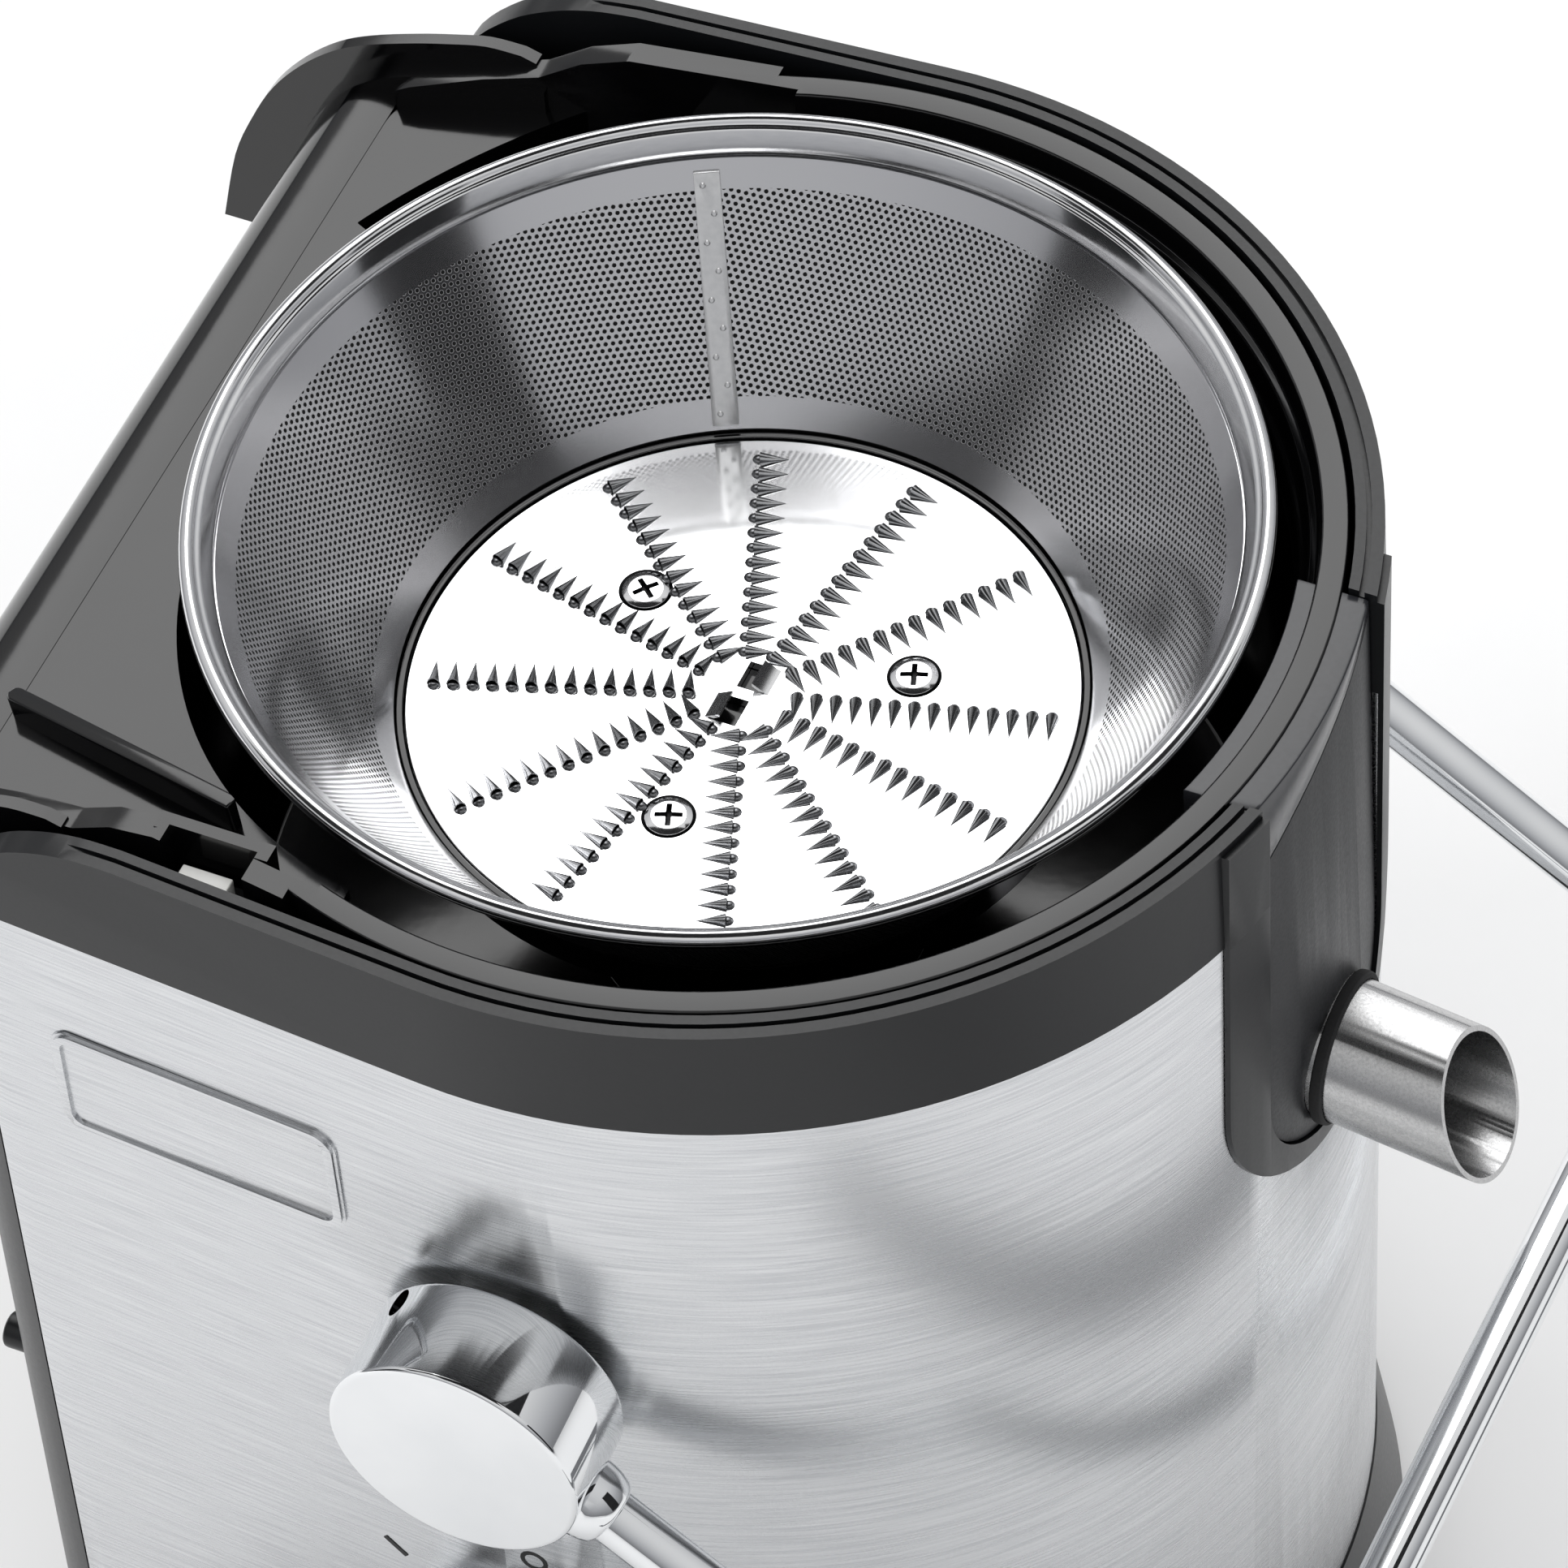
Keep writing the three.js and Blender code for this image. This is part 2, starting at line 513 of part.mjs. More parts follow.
function basketHub() {
  const plate = DISC_Z - 1.7;
  const bottom = DECK_Z + 18;
  let body = revolve([
    [0, plate], [DISC_R + 0.3, plate], [DISC_R + 0.3, DISC_Z + 0.3], [HUB_R, DISC_Z + 0.3],
    [HUB_R, DISC_Z - 5], [29, DISC_Z - 5], [29, DISC_Z - 22], [27, DISC_Z - 22], [27, DISC_Z - 5.2],
    [20, DISC_Z - 5.2], [20, bottom], [13.3, bottom], [13.3, SOCKET_TOP], [0, SOCKET_TOP],
  ], 36);
  body = body.subtract(star(13.3, 17.4, 2.5, bottom - 1, SOCKET_TOP));
  for (const [x, y] of DISC_SCREWS) {
    body = body.add(rod(4.2, DISC_Z - 14, DISC_Z - 4, 16).translate([x * 0.94, y * 0.94, 0]));
    body = body.subtract(rod(1.9, DISC_Z - 12.5, DISC_Z, 16).translate([x, y, 0]));
  }
  return body;
}

// a pointed hood with its blunt end towards the way the disc turns
const tooth = () => wasm.Manifold.hull([[-1.15, 0, -0.3], [1.15, 0, -0.3], [0, 0, 1.3], [0, -4.8, -0.3]]);

function cuttingDisc() {
  const hood = tooth();
  const teeth = TOOTH_ROWS.flatMap((angle) =>
    Array.from({ length: TEETH }, (_, i) =>
      hood.translate([TOOTH_R + i * TOOTH_PITCH, 0, DISC_Z]).rotate([0, 0, angle]),
    ),
  );
  let body = rod(DISC_R, DISC_Z - 1.5, DISC_Z, FINE);
  body = body.add(wasm.Manifold.union(teeth));
  for (const [x, y] of DISC_SCREWS) {
    const sink = revolve([[0, -3], [2.3, -3], [2.3, -1.5], [4.1, -0.2], [4.1, 4], [0, 4]], 20);
    body = body.subtract(sink.translate([x, y, DISC_Z]));
  }
  const tab = sidePrism([[3.7, -0.6], [3.7, 0], [1, 1.5], [1, 0.6], [3.2, -0.6]], 1, 6.2);
  for (const turn of [0, 180]) {
    body = body.subtract(box(-1.5, 2.9, 1, 6.2, -5, 5).translate([0, 0, DISC_Z]).rotate([0, 0, turn]));
    body = body.add(tab.translate([0, 0, DISC_Z]).rotate([0, 0, turn]));
  }
  return body;
}

function discScrew([x, y]) {
  const head = revolve([[0, -11], [1.7, -11], [1.7, -1.6], [3.6, -0.1], [3.6, 0.15], [2.6, 0.5],
    [0, 0.6]], 14);
  const cross = box(-2.1, 2.1, -0.5, 0.5, -0.6, 2).add(box(-0.5, 0.5, -2.1, 2.1, -0.6, 2));
  return head.subtract(cross.rotate([0, 0, x > 0 ? 20 : 50])).translate([x, y, DISC_Z]);
}

// ---------------------------------------------------------------- juice collector
const DECK_SLOPE = 0.22;
const rampZ = (x) => RIM_Z - 11 + DECK_SLOPE * (x + 36);
const DECK_LEFT = LIP_X - LIP_R;
const DECK_TAPER = 8.4;
const collectorPlan = (t, left = DECK_LEFT) =>
  plan(RIDGE_R - t, left - t * 0.2, Math.max(8 - t, 1), DECK_TAPER);

function bowl() {
  const top = RIM_Z - 3.5;
  const floor = BOWL_FLOOR + 2.5;
  const inner = BOWL_R - 2.4;
  return revolve([
    [22, BOWL_FLOOR], [BOWL_R - 3, BOWL_FLOOR], [BOWL_R, BOWL_FLOOR + 4], [BOWL_R, top - 34],
    [RIDGE_R - 2.4, top - 24], [RIDGE_R - 2.4, top - 9], [RIDGE_R, top - 7], [RIDGE_R, top],
    [RIDGE_R - RIDGE_W, top], [RIDGE_R - RIDGE_W - 0.6, top - 4], [RIDGE_R - RIDGE_W - 2, top - 4.6],
    [RIDGE_R - RIDGE_W - 2.5, top - 9], [RIDGE_R - RIDGE_W - 3.6, top - 9.6],
    [RIDGE_R - RIDGE_W - 4, top - 15], [RIDGE_R - RIDGE_W - 4.4, top - 15.4], [inner, top - 40],
    [inner, floor + 6], [inner - 6, floor],
    [26, floor], [24, floor + 2], [24, DISC_Z - 16], [22, DISC_Z - 16],
  ], FINE);
}

function spoutPod() {
  const top = RIM_Z - 4;
  const shell = tube(BOWL_R - 1.2, BODY_R - 1.2, 150, top, FINE);
  return shell.intersect(slotBlock(SLOT_HALF - 0.3, SLOT_BOTTOM + 0.3, ABOVE));
}

const spoutRod = (r, x0, x1) =>
  rod(r, 0, (x1 - x0) / cos(SPOUT_TILT), 40)
    .rotate([0, 90 + SPOUT_TILT, 0])
    .translate([x0, 0, spoutAxisZ(x0)]);

// the chute's outlines are drawn for this left side, and move with the real one
const DRAWN_LEFT = 95.5;
const leftward = (x) => x + DRAWN_LEFT - BODY_LEFT;

function lip() {
  const z = rampZ(-DECK_LEFT) - LIP_R;
  const outer = ring(-DECK_LEFT, z, LIP_R, 90, 180, 8);
  const inner = ring(-DECK_LEFT, z, LIP_R - 2.2, 180, 90, 8);
  const bottom = z - 8;
  const half = BODY_R - 18.4;
  return sidePrism([...outer, [-LIP_X, bottom], [-LIP_X + 2.2, bottom], ...inner], -half, half);
}

function cheek(side) {
  const top = RIM_Z;
  const back = -BODY_LEFT - 3;
  const hang = top - 67;
  const x = leftward;
  const outline = [
    [x(-66), top - 18], [x(-68.5), top - 10.4], [x(-71), top - 9.6], [x(-77), top - 9.8],
    [x(-83.5), top - 11.7], [x(-90), top - 14], [x(-98), top - 17.4], [x(-104), top - 21],
    [x(-110), top - 26.5], [x(-115.5), top - 33.5], [x(-120), top - 42], [x(-124), top - 52],
    [-WING_X, hang], [back, hang], [back, top - 27.6], [x(-66), top - 27.6],
  ];
  const ledge = [
    [x(-66), top - 13], [x(-76), top - 13], [x(-87.6), top - 17.4], [x(-94), top - 20.4],
    [x(-100), top - 24.8],
    [x(-105.7), top - 32.2], [x(-110), top - 40], [x(-113.6), top - 49], [x(-116), top - 60],
    [x(-116), hang], [back, hang],
    [back, top - 27.6], [x(-66), top - 27.6],
  ];
  const span = (a, b) => (side > 0 ? [a, b] : [-b, -a]);
  const outside = sidePrism(outline, ...span(BODY_R - 15.8, BODY_R - 13.6));
  return outside.add(sidePrism(ledge, ...span(BODY_R - 18.8, BODY_R - 15.4)));
}

function deck() {
  const low = RIM_Z - 29;
  const top = RIM_Z - 3.5;
  const inside = prism(collectorPlan(RIDGE_W, 140), low - 1, top + 1);
  const wall = prism(collectorPlan(0), low, top).subtract(inside);
  const slab = sidePrism([
    [-24, rampZ(-24)], [-DECK_LEFT - 0.2, rampZ(-DECK_LEFT)], [-DECK_LEFT - 0.2, rampZ(-DECK_LEFT) - 2.2],
    [-24, rampZ(-24) - 2.2],
  ], -BODY_R, BODY_R).intersect(prism(collectorPlan(0.6), UNDER, ABOVE));
  return wall.subtract(box(-30, 120, -120, 120, UNDER, ABOVE)).add(slab);
}

function aboveDeck() {
  const air = sidePrism([
    [-26, rampZ(-26)], [-26, ABOVE], [-150, ABOVE], [-150, rampZ(-DECK_LEFT)],
    [-DECK_LEFT, rampZ(-DECK_LEFT)],
  ], -BODY_R - 5, BODY_R + 5);
  return air.intersect(prism(collectorPlan(RIDGE_W, 140), UNDER, ABOVE));
}

function wallFall() {
  const x = leftward;
  const fall = [
    [x(-52), RIM_Z - 3.4], [x(-60), RIM_Z - 6], [x(-67), RIM_Z - 10.5], [x(-76), RIM_Z - 13],
    [x(-88), RIM_Z - 17.6],
    [x(-96), RIM_Z - 22], [x(-96), ABOVE], [x(-52), ABOVE],
  ];
  return sidePrism(fall, -BODY_R - 5, BODY_R + 5);
}

function recess(grow, z0, z1) {
  const from = 118 - grow;
  const to = 150 + grow;
  const outer = ring(0, 0, BODY_R + 3.1 + grow * 1.4, from, to, 12);
  return prism([...outer, ...ring(0, 0, BODY_R - 16.4, to, from, 12)], z0, z1);
}

function collector() {
  let body = bowl().add(spoutPod()).add(deck());
  const pit = RIM_Z - 34;
  body = body.add(recess(1.3, pit - 2, RIM_Z - 18).intersect(prism(collectorPlan(0.8), UNDER, ABOVE)));
  body = body.subtract(aboveDeck());
  body = body.subtract(recess(0, pit, ABOVE).intersect(prism(collectorPlan(RIDGE_W), UNDER, ABOVE)));
  body = body.subtract(rod(BOWL_R - 2.6, UNDER, ABOVE, FINE)).subtract(wallFall());
  body = body.add(lip()).add(cheek(1)).add(cheek(-1));
  const rib = box(-24, 24, -1.4, 1.4, -3, 4.6).rotate([0, -12.4, 0]).rotate([0, 0, -18])
    .translate([-68, -63, rampZ(-68)]);
  body = body.add(rib.subtract(rod(BOWL_R - 1, 100, ABOVE)));
  const { x, y, w } = PLUNGER;
  const [a, b] = [x - w / 2 - 3, x + w / 2 + 3];
  body = body.add(box(a - 2, b + 2, y + 3.5, y + 6.6, RIM_Z - 20, RIM_Z - 3.5));
  body = body.subtract(box(a, b, y - 15, y + 4.6, UNDER, ABOVE));
  return body.subtract(spoutRod(SPOUT_R + 0.15, 60, 140));
}

function spout() {
  const start = BOWL_R - 3;
  const bore = spoutRod(SPOUT_R - 0.8, start - 4, SPOUT_TIP_X + 12);
  const pipe = spoutRod(SPOUT_R, start, SPOUT_TIP_X + 6).subtract(bore);
  const mouth = box(0, 40, -30, 30, -60, 60).rotate([0, -SPOUT_CUT, 0])
    .translate([SPOUT_REACH, 0, spoutAxisZ(SPOUT_REACH)]);
  return pipe.subtract(mouth);
}

function spoutRing() {
  const x0 = BODY_R - 1;
  const flange = rod(SPOUT_R + 1, 0, 2, 32).rotate([0, 90, 0]).translate([x0, 0, spoutAxisZ(x0)]);
  return flange.subtract(spoutRod(SPOUT_R + 0.15, x0 - 10, x0 + 10));
}

// ---------------------------------------------------------------- bail, knob, plunger
// a round rod swept along a flat run of points in the XY plane
function sweep(points, r, sides) {
  const positions = [];
  const index = [];
  const last = points.length - 1;
  points.forEach(([x, y], i) => {
    const [ax, ay] = points[Math.max(i - 1, 0)];
    const [bx, by] = points[Math.min(i + 1, last)];
    const length = Math.hypot(bx - ax, by - ay);
    const [nx, ny] = [(by - ay) / length, (ax - bx) / length];
    for (let k = 0; k < sides; k++) {
      const a = (360 * k) / sides;
      positions.push(x + nx * r * cos(a), y + ny * r * cos(a), r * sin(a));
    }
  });
  for (let i = 0; i < last; i++) {
    for (let k = 0; k < sides; k++) {
      const [a, b] = [i * sides + k, i * sides + ((k + 1) % sides)];
      index.push(a, b + sides, b, a, a + sides, b + sides);
    }
  }
  for (let k = 1; k < sides - 1; k++) {
    index.push(0, k, k + 1, last * sides, last * sides + k + 1, last * sides + k);
  }
  const geometry = new THREE.BufferGeometry();
  geometry.setAttribute("position", new THREE.Float32BufferAttribute(positions, 3));
  geometry.setIndex(index);
  return solid(geometry);
}

function bailRod() {
  const bend = 16;
  const start = BOSS_R - 7;
  const points = [
    [start, -BAIL_HALF],
    ...ring(BAIL_ARM - bend, -BAIL_HALF + bend, bend, 270, 360, 6),
    ...ring(BAIL_ARM - bend, BAIL_HALF - bend, bend, 0, 90, 6),
    [start, BAIL_HALF],
  ];
  return turned(sweep(points, BAIL_ROD_R, 14));
}

const turned = (body) => body.rotate([0, BAIL_DROOP, 0]).translate([BAIL_X, 0, BAIL_Z]);

function boss(side) {
  const back = side > 0 ? BOSS_BACK : -BOSS_FACE;
  let body = revolve([
    [0, 0], [BOSS_R - 1, 0], [BOSS_R, 1], [BOSS_R, BOSS_T - 0.5], [BOSS_R - 0.5, BOSS_T], [0, BOSS_T],
  ], 36).rotate([-90, 0, 0]);
  body = side > 0 ? body : body.rotate([180, 0, 0]).translate([0, BOSS_T, 0]);
  body = body.translate([0, back, 0]);
  const pinEnd = BOWL_R + 1.6;
  body = body.add(crossRod(6, 0, 0, side > 0 ? pinEnd : -BOSS_BACK - 1, side > 0 ? BOSS_BACK + 1 : -pinEnd));
  const lug = box(BOSS_R - 5, BOSS_R + 5, side * BAIL_HALF - 6.2, side * BAIL_HALF + 6.2, -6.2, 6.2);
  body = body.add(lug.intersect(rod(6.4, 0, 60).rotate([0, 90, 0]).translate([0, side * BAIL_HALF, 0])));
  const socket = rod(BAIL_ROD_R + 0.1, 0, 60, 24).rotate([0, 90, 0])
    .translate([BOSS_R - 7.2, side * BAIL_HALF, 0]);
  return turned(body.subtract(socket));
}

function pivotBush(side) {
  const inner = side > 0 ? BOWL_R + 1.4 : -bodyR(BAIL_Z) - 0.6;
  const length = bodyR(BAIL_Z) + 0.6 - BOWL_R - 1.4;
  return crossRod(8.8, BAIL_X, BAIL_Z, inner, inner + length)
    .subtract(crossRod(6 + 2 * RUN, BAIL_X, BAIL_Z, inner - 1, inner + length + 1, 36));
}

function knob() {
  const back = bodyR(KNOB_Z) + 1.6;
  const body = revolve([
    [0, 0], [KNOB_R - 1, 0], [KNOB_R, 1], [KNOB_R - 0.6, 13], [KNOB_R - 1.6, 14], [0, 14],
  ], 36).rotate([90, 0, 0]).translate([BAIL_X, -back, KNOB_Z]);
  const pointer = box(-1, 1, -back - 14.5, -back - 12, 8, KNOB_R - 3).translate([BAIL_X, 0, KNOB_Z]);
  return body.add(pointer).subtract(crossRod(3.1, BAIL_X, KNOB_Z, -back - 8, -back + 1, 24));
}

const knobSpindle = () => crossRod(3, BAIL_X, KNOB_Z, -bodyR(KNOB_Z) - 9, -80, 24);

function plunger() {
  const { x, y, w, d } = PLUNGER;
  const low = COLLAR_BOTTOM - 12;
  const stem = box(x - w / 2, x + w / 2, y - d / 2, y + d / 2, low, RIM_Z - 8);
  return stem.add(box(x - w / 2 - 1, x + w / 2 + 1, y - d / 2 - 0.5, y + d / 2 + 0.5, low, low + 2.7));
}

// ---------------------------------------------------------------- assembly
add("base_skirt", skirt(), satinBlack);
add("base_tray", tray(), satinBlack);
FEET.forEach(([x, y], i) => {
  const foot = revolve([[0, 0], [8, 0], [9, 1], [9, 4 - GAP], [0, 4 - GAP]], 20);
  add(`foot_${i + 1}`, foot.translate([x, y, 0]), rubber);
});
SCREWS.forEach(([x, y], i) => {
  const screw = revolve([[0, 1.6], [3.2, 1.6], [3.8, 2.4], [3.8, 3.8], [1.8, 3.8], [1.8, 18],
    [0, 18]], 12);
  add(`base_screw_${i + 1}`, screw.translate([x, y, 0]), zinc);
});
add("body_wrap", wrap(), brushed);
add("side_panel", sidePanel(), satinBlack);
add("top_collar", collar(), satinBlack);
add("inner_housing", housing(), satinBlack);
add("blank_badge", badge(), brushed);
add("cord_gland", gland(), rubber);
add("stator_core", stator(), iron);
add("field_coil_left", fieldCoil(-1), copper);
add("field_coil_right", fieldCoil(1), copper);
add("motor_bracket_top", bracket(true), zinc);
add("motor_bracket_bottom", bracket(false), zinc);
add("bearing_top", bearing(MOTOR_TOP - 9), polished);
add("bearing_bottom", bearing(27), polished);
add("brush_holder_front", brushHolder(-1), brass);
add("brush_holder_back", brushHolder(1), brass);
add("carbon_brush_front", brush(-1), carbon);
add("carbon_brush_back", brush(1), carbon);
add("shaft_seal", shaftSeal(), rubber);
add("switch_body", switchBody(), satinBlack);
add("interlock_switch", microSwitch(), satinBlack);
add("pivot_bush_front", pivotBush(-1), white);
add("pivot_bush_back", pivotBush(1), white);

add("motor_shaft", shaft(), polished);
add("drive_coupling", coupling(), satinBlack);
add("armature_core", onShaft(rod(CORE_R, STATOR.z0 + 2, STATOR.z1 - 2)), iron);
add("armature_winding_top", windings(STATOR.z1 - 1.8, STATOR.z1 + 5.4), copper);
add("armature_winding_bottom", windings(STATOR.z0 - 5.4, STATOR.z0 + 1.8), copper);
add("commutator", onShaft(rod(12, 42, 57, 36)), copper);
add("cooling_fan", fan(), satinBlack);

add("basket_rim", basketRim(), polished);
add("basket_filter", basketCone(), brushed);
add("basket_seam_strip", seamStrip(), polished);
add("basket_hub", basketHub(), glossBlack);
add("cutting_disc", cuttingDisc(), polished);
DISC_SCREWS.forEach((at, i) => add(`disc_screw_${i + 1}`, discScrew(at), polished));

add("juice_collector", collector(), glossBlack);
add("spout_tube", spout(), brushed);
add("spout_ring", spoutRing(), rubber);

add("bail_rod", bailRod(), chrome);
add("bail_boss_front", boss(-1), chrome);
add("bail_boss_back", boss(1), chrome);

add("switch_knob", knob(), chrome);
add("switch_spindle", knobSpindle(), white);

add("interlock_plunger", plunger(), white);

export default group;
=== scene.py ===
# %% [markdown]
# # A centrifugal juicer, dressed piece by piece
#
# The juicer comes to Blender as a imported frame: every part already has its true
# size, its place and the body that it moves with. This lesson builds what the eye
# sees around that frame: pressed steel, moulded black plastic, chrome and rubber.
# The frame comes first, because every later size is read from it.

# %% Load the frame
import json
import math

import bpy
from mathutils import Matrix, Vector


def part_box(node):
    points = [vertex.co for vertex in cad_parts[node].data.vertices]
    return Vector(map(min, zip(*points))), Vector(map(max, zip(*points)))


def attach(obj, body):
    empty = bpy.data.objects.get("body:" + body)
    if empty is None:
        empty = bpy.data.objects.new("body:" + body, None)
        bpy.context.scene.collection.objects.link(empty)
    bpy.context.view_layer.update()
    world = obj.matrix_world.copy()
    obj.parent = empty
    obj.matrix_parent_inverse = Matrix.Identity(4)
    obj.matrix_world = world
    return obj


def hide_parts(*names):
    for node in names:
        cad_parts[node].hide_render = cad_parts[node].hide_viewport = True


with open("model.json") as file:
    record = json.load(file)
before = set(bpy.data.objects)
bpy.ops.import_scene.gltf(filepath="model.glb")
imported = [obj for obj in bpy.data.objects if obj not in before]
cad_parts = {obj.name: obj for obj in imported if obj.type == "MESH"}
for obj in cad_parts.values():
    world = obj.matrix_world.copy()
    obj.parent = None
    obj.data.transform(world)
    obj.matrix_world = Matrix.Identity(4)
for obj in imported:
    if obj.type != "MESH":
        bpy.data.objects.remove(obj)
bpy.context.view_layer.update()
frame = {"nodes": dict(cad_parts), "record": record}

print("nodes:", len(frame["nodes"]))

# %% [markdown]
# ## Working in millimetres round the spindle
#
# A juicer is drawn round its spindle, so each piece is shaped in millimetres with the
# spindle at x = 0, and is shrunk and shifted into the frame when it is finished.
# Shaping at this size also keeps merge distances and bevel widths easy to read.

# %% Sizes read from the frame
MM = 0.001
disc_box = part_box("cutting_disc")
SPINDLE_X = (disc_box[0].x + disc_box[1].x) / 2


def limits(node):
    """Lowest and highest corner of a node in millimetres, from the spindle."""
    shift = Vector((SPINDLE_X, 0, 0))
    return tuple((corner - shift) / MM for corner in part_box(node))


BASKET_R = limits("basket_rim")[1].y
RIM_Z = limits("basket_rim")[1].z
COLLAR_TOP = limits("top_collar")[1].z
SKIRT_TOP = limits("base_skirt")[1].z
DISC_Z = RIM_Z - 41.3
BODY_R = 95.4
BODY_LEFT = 95.5
print(f"basket radius {BASKET_R:.2f}, rim at {RIM_Z:.2f}, body radius {BODY_R:.2f}")
print(f"collar top {COLLAR_TOP:.2f}, skirt top {SKIRT_TOP:.2f}, left side {BODY_LEFT:.2f}")

# %% Sizes shared by several pieces
COLLAR_BOTTOM = COLLAR_TOP - 22
BODY_R_FOOT = BODY_R - 4.2
BODY_CORNER = 16
BODY_TAPER = 3.8
COLLAR_IN_R = BODY_R - 4.3
RIDGE_R = COLLAR_IN_R - 0.9
RIDGE_W = 4
BOWL_R = RIDGE_R - 5.7
BOWL_FLOOR = 156
DISC_R = 50.2
HUB_R = DISC_R + 1.3
SPOUT_R = 11
SPOUT_Z = RIM_Z - 81
SPOUT_TILT = 9
SLOT_HALF = 21.5
SLOT_BOTTOM = SPOUT_Z - SPOUT_R - 1.6
BAIL_X = 1
BAIL_Z = RIM_Z - 90
BAIL_HALF = 103
BAIL_DROOP = 36.5
KNOB_Z = 76


def body_radius(z):
    """Radius of the round end of the steel at a height, with its slight draft."""
    share = (z - SKIRT_TOP) / (COLLAR_BOTTOM - SKIRT_TOP)
    return BODY_R_FOOT + (BODY_R - 0.3 - BODY_R_FOOT) * share


# %% [markdown]
# ## Tracing, turning and pushing
#
# Nearly every piece starts as an outline. `trace` starts from one vertex and pulls it
# from corner to corner with the extrude operator, as one does by hand with E. A closed
# outline is then filled and pushed into a slab, and an open or closed profile beside
# the spindle is spun round it, which is how turned and deep-drawn parts get their shape.

# %% Outline helpers


def clear_selection():
    """Deselects every object, so that an operator reaches only the new one."""
    if bpy.context.object and bpy.context.object.mode != "OBJECT":
        bpy.ops.object.mode_set(mode="OBJECT")
    bpy.ops.object.select_all(action="DESELECT")


def arc(x, y, radius, start, end, steps):
    """Points on an arc, with its angles in degrees."""
    turn = (end - start) / steps
    angles = [math.radians(start + turn * i) for i in range(steps + 1)]
    return [(x + radius * math.cos(a), y + radius * math.sin(a)) for a in angles]


def eased(points, radius, steps=3, closed=True):
    """The outline with each corner replaced by a small arc of about that radius."""
    made = []
    count = len(points)
    for i, here in enumerate(points):
        here = Vector(here)
        if not closed and i in (0, count - 1):
            made.append(here)
            continue
        back = Vector(points[i - 1]) - here
        ahead = Vector(points[(i + 1) % count]) - here
        reach = min(radius, back.length * 0.45, ahead.length * 0.45)
        a = here + back.normalized() * reach
        b = here + ahead.normalized() * reach
        for k in range(steps + 1):
            t = k / steps
            made.append(a * (1 - t) ** 2 + here * 2 * t * (1 - t) + b * t * t)
    return [tuple(p) for p in made]


def trace(name, points):
    """Pulls one vertex from point to point and leaves the line open in edit mode."""
    clear_selection()
    bpy.ops.mesh.primitive_plane_add(size=1)
    piece = bpy.context.object
    piece.name = name
    bpy.ops.object.mode_set(mode="EDIT")
    bpy.ops.mesh.select_mode(type="VERT")
    bpy.ops.mesh.select_all(action="SELECT")
    bpy.ops.mesh.merge(type="CENTER")
    bpy.ops.transform.translate(value=points[0])
    for a, b in zip(points, points[1:]):
        step = Vector(b) - Vector(a)
        bpy.ops.mesh.extrude_vertices_move(TRANSFORM_OT_translate={"value": step})
    return piece


def close_up(merge=0.0005):
    """Merges doubles, turns all faces outwards and goes back to object mode."""
    bpy.ops.mesh.select_all(action="SELECT")
    bpy.ops.mesh.remove_doubles(threshold=merge)
    bpy.ops.mesh.normals_make_consistent(inside=False)
    bpy.ops.object.mode_set(mode="OBJECT")


def slab(name, points, push):
    """Fills a closed outline and pushes it into a slab."""
    piece = trace(name, points)
    bpy.ops.mesh.select_all(action="SELECT")
    bpy.ops.mesh.edge_face_add()
    bpy.ops.mesh.extrude_region_move(TRANSFORM_OT_translate={"value": push})
    close_up()
    return piece


def flat_slab(name, outline, low, high):
    return slab(name, [(x, y, low) for x, y in outline], (0, 0, high - low))


def side_slab(name, outline, near, far):
    """A slab whose outline is seen from the front, running from y near to y far."""
    return slab(name, [(x, near, z) for x, z in outline], (0, far - near, 0))


def end_slab(name, outline, left, right):
    """A slab whose outline is seen from the spout end, running along x."""
    return slab(name, [(left, y, z) for y, z in outline], (right - left, 0, 0))


def block(name, low, high):
    corners = [(low[0], low[1]), (high[0], low[1]), (high[0], high[1]), (low[0], high[1])]
    return flat_slab(name, corners, low[2], high[2])


def turned(name, profile, steps=144, closed=True):
    """Spins a profile of (radius, height) points round the spindle."""
    points = [(r, 0, z) for r, z in profile]
    piece = trace(name, points + points[:1] if closed else points)
    bpy.ops.mesh.select_all(action="SELECT")
    bpy.ops.mesh.remove_doubles(threshold=0.0005)
    bpy.ops.mesh.select_all(action="SELECT")
    bpy.ops.mesh.spin(steps=steps, angle=math.tau, center=(0, 0, 0), axis=(0, 0, 1))
    close_up()
    return piece


# %% Joining, cutting and easing helpers


def combine(piece, tool, kind):
    """Joins, cuts or keeps what two closed solids share, then removes the tool."""
    clear_selection()
    change = piece.modifiers.new(kind.lower(), "BOOLEAN")
    change.object = tool
    change.operation = kind
    change.solver = "MANIFOLD"
    bpy.context.view_layer.objects.active = piece
    bpy.ops.object.modifier_apply(modifier=change.name)
    bpy.data.objects.remove(tool)
    if not piece.data.polygons:
        raise RuntimeError(f"{piece.name} is empty after {kind}")
    return piece


def cut(piece, *tools):
    for tool in tools:
        combine(piece, tool, "DIFFERENCE")
    return piece


def join(piece, *tools):
    for tool in tools:
        combine(piece, tool, "UNION")
    return piece


def keep(piece, tool):
    return combine(piece, tool, "INTERSECT")


def moved(piece, matrix):
    """Applies a placing to the mesh itself, so that the object stays at the origin."""
    piece.data.transform(matrix)
    return piece


def turn(axis, degrees, centre=(0, 0, 0)):
    there = Matrix.Translation(centre)
    return there @ Matrix.Rotation(math.radians(degrees), 4, axis) @ there.inverted()


def copy_of(piece, name):
    twin = piece.copy()
    twin.data = piece.data.copy()
    twin.name = name
    bpy.context.scene.collection.objects.link(twin)
    return twin


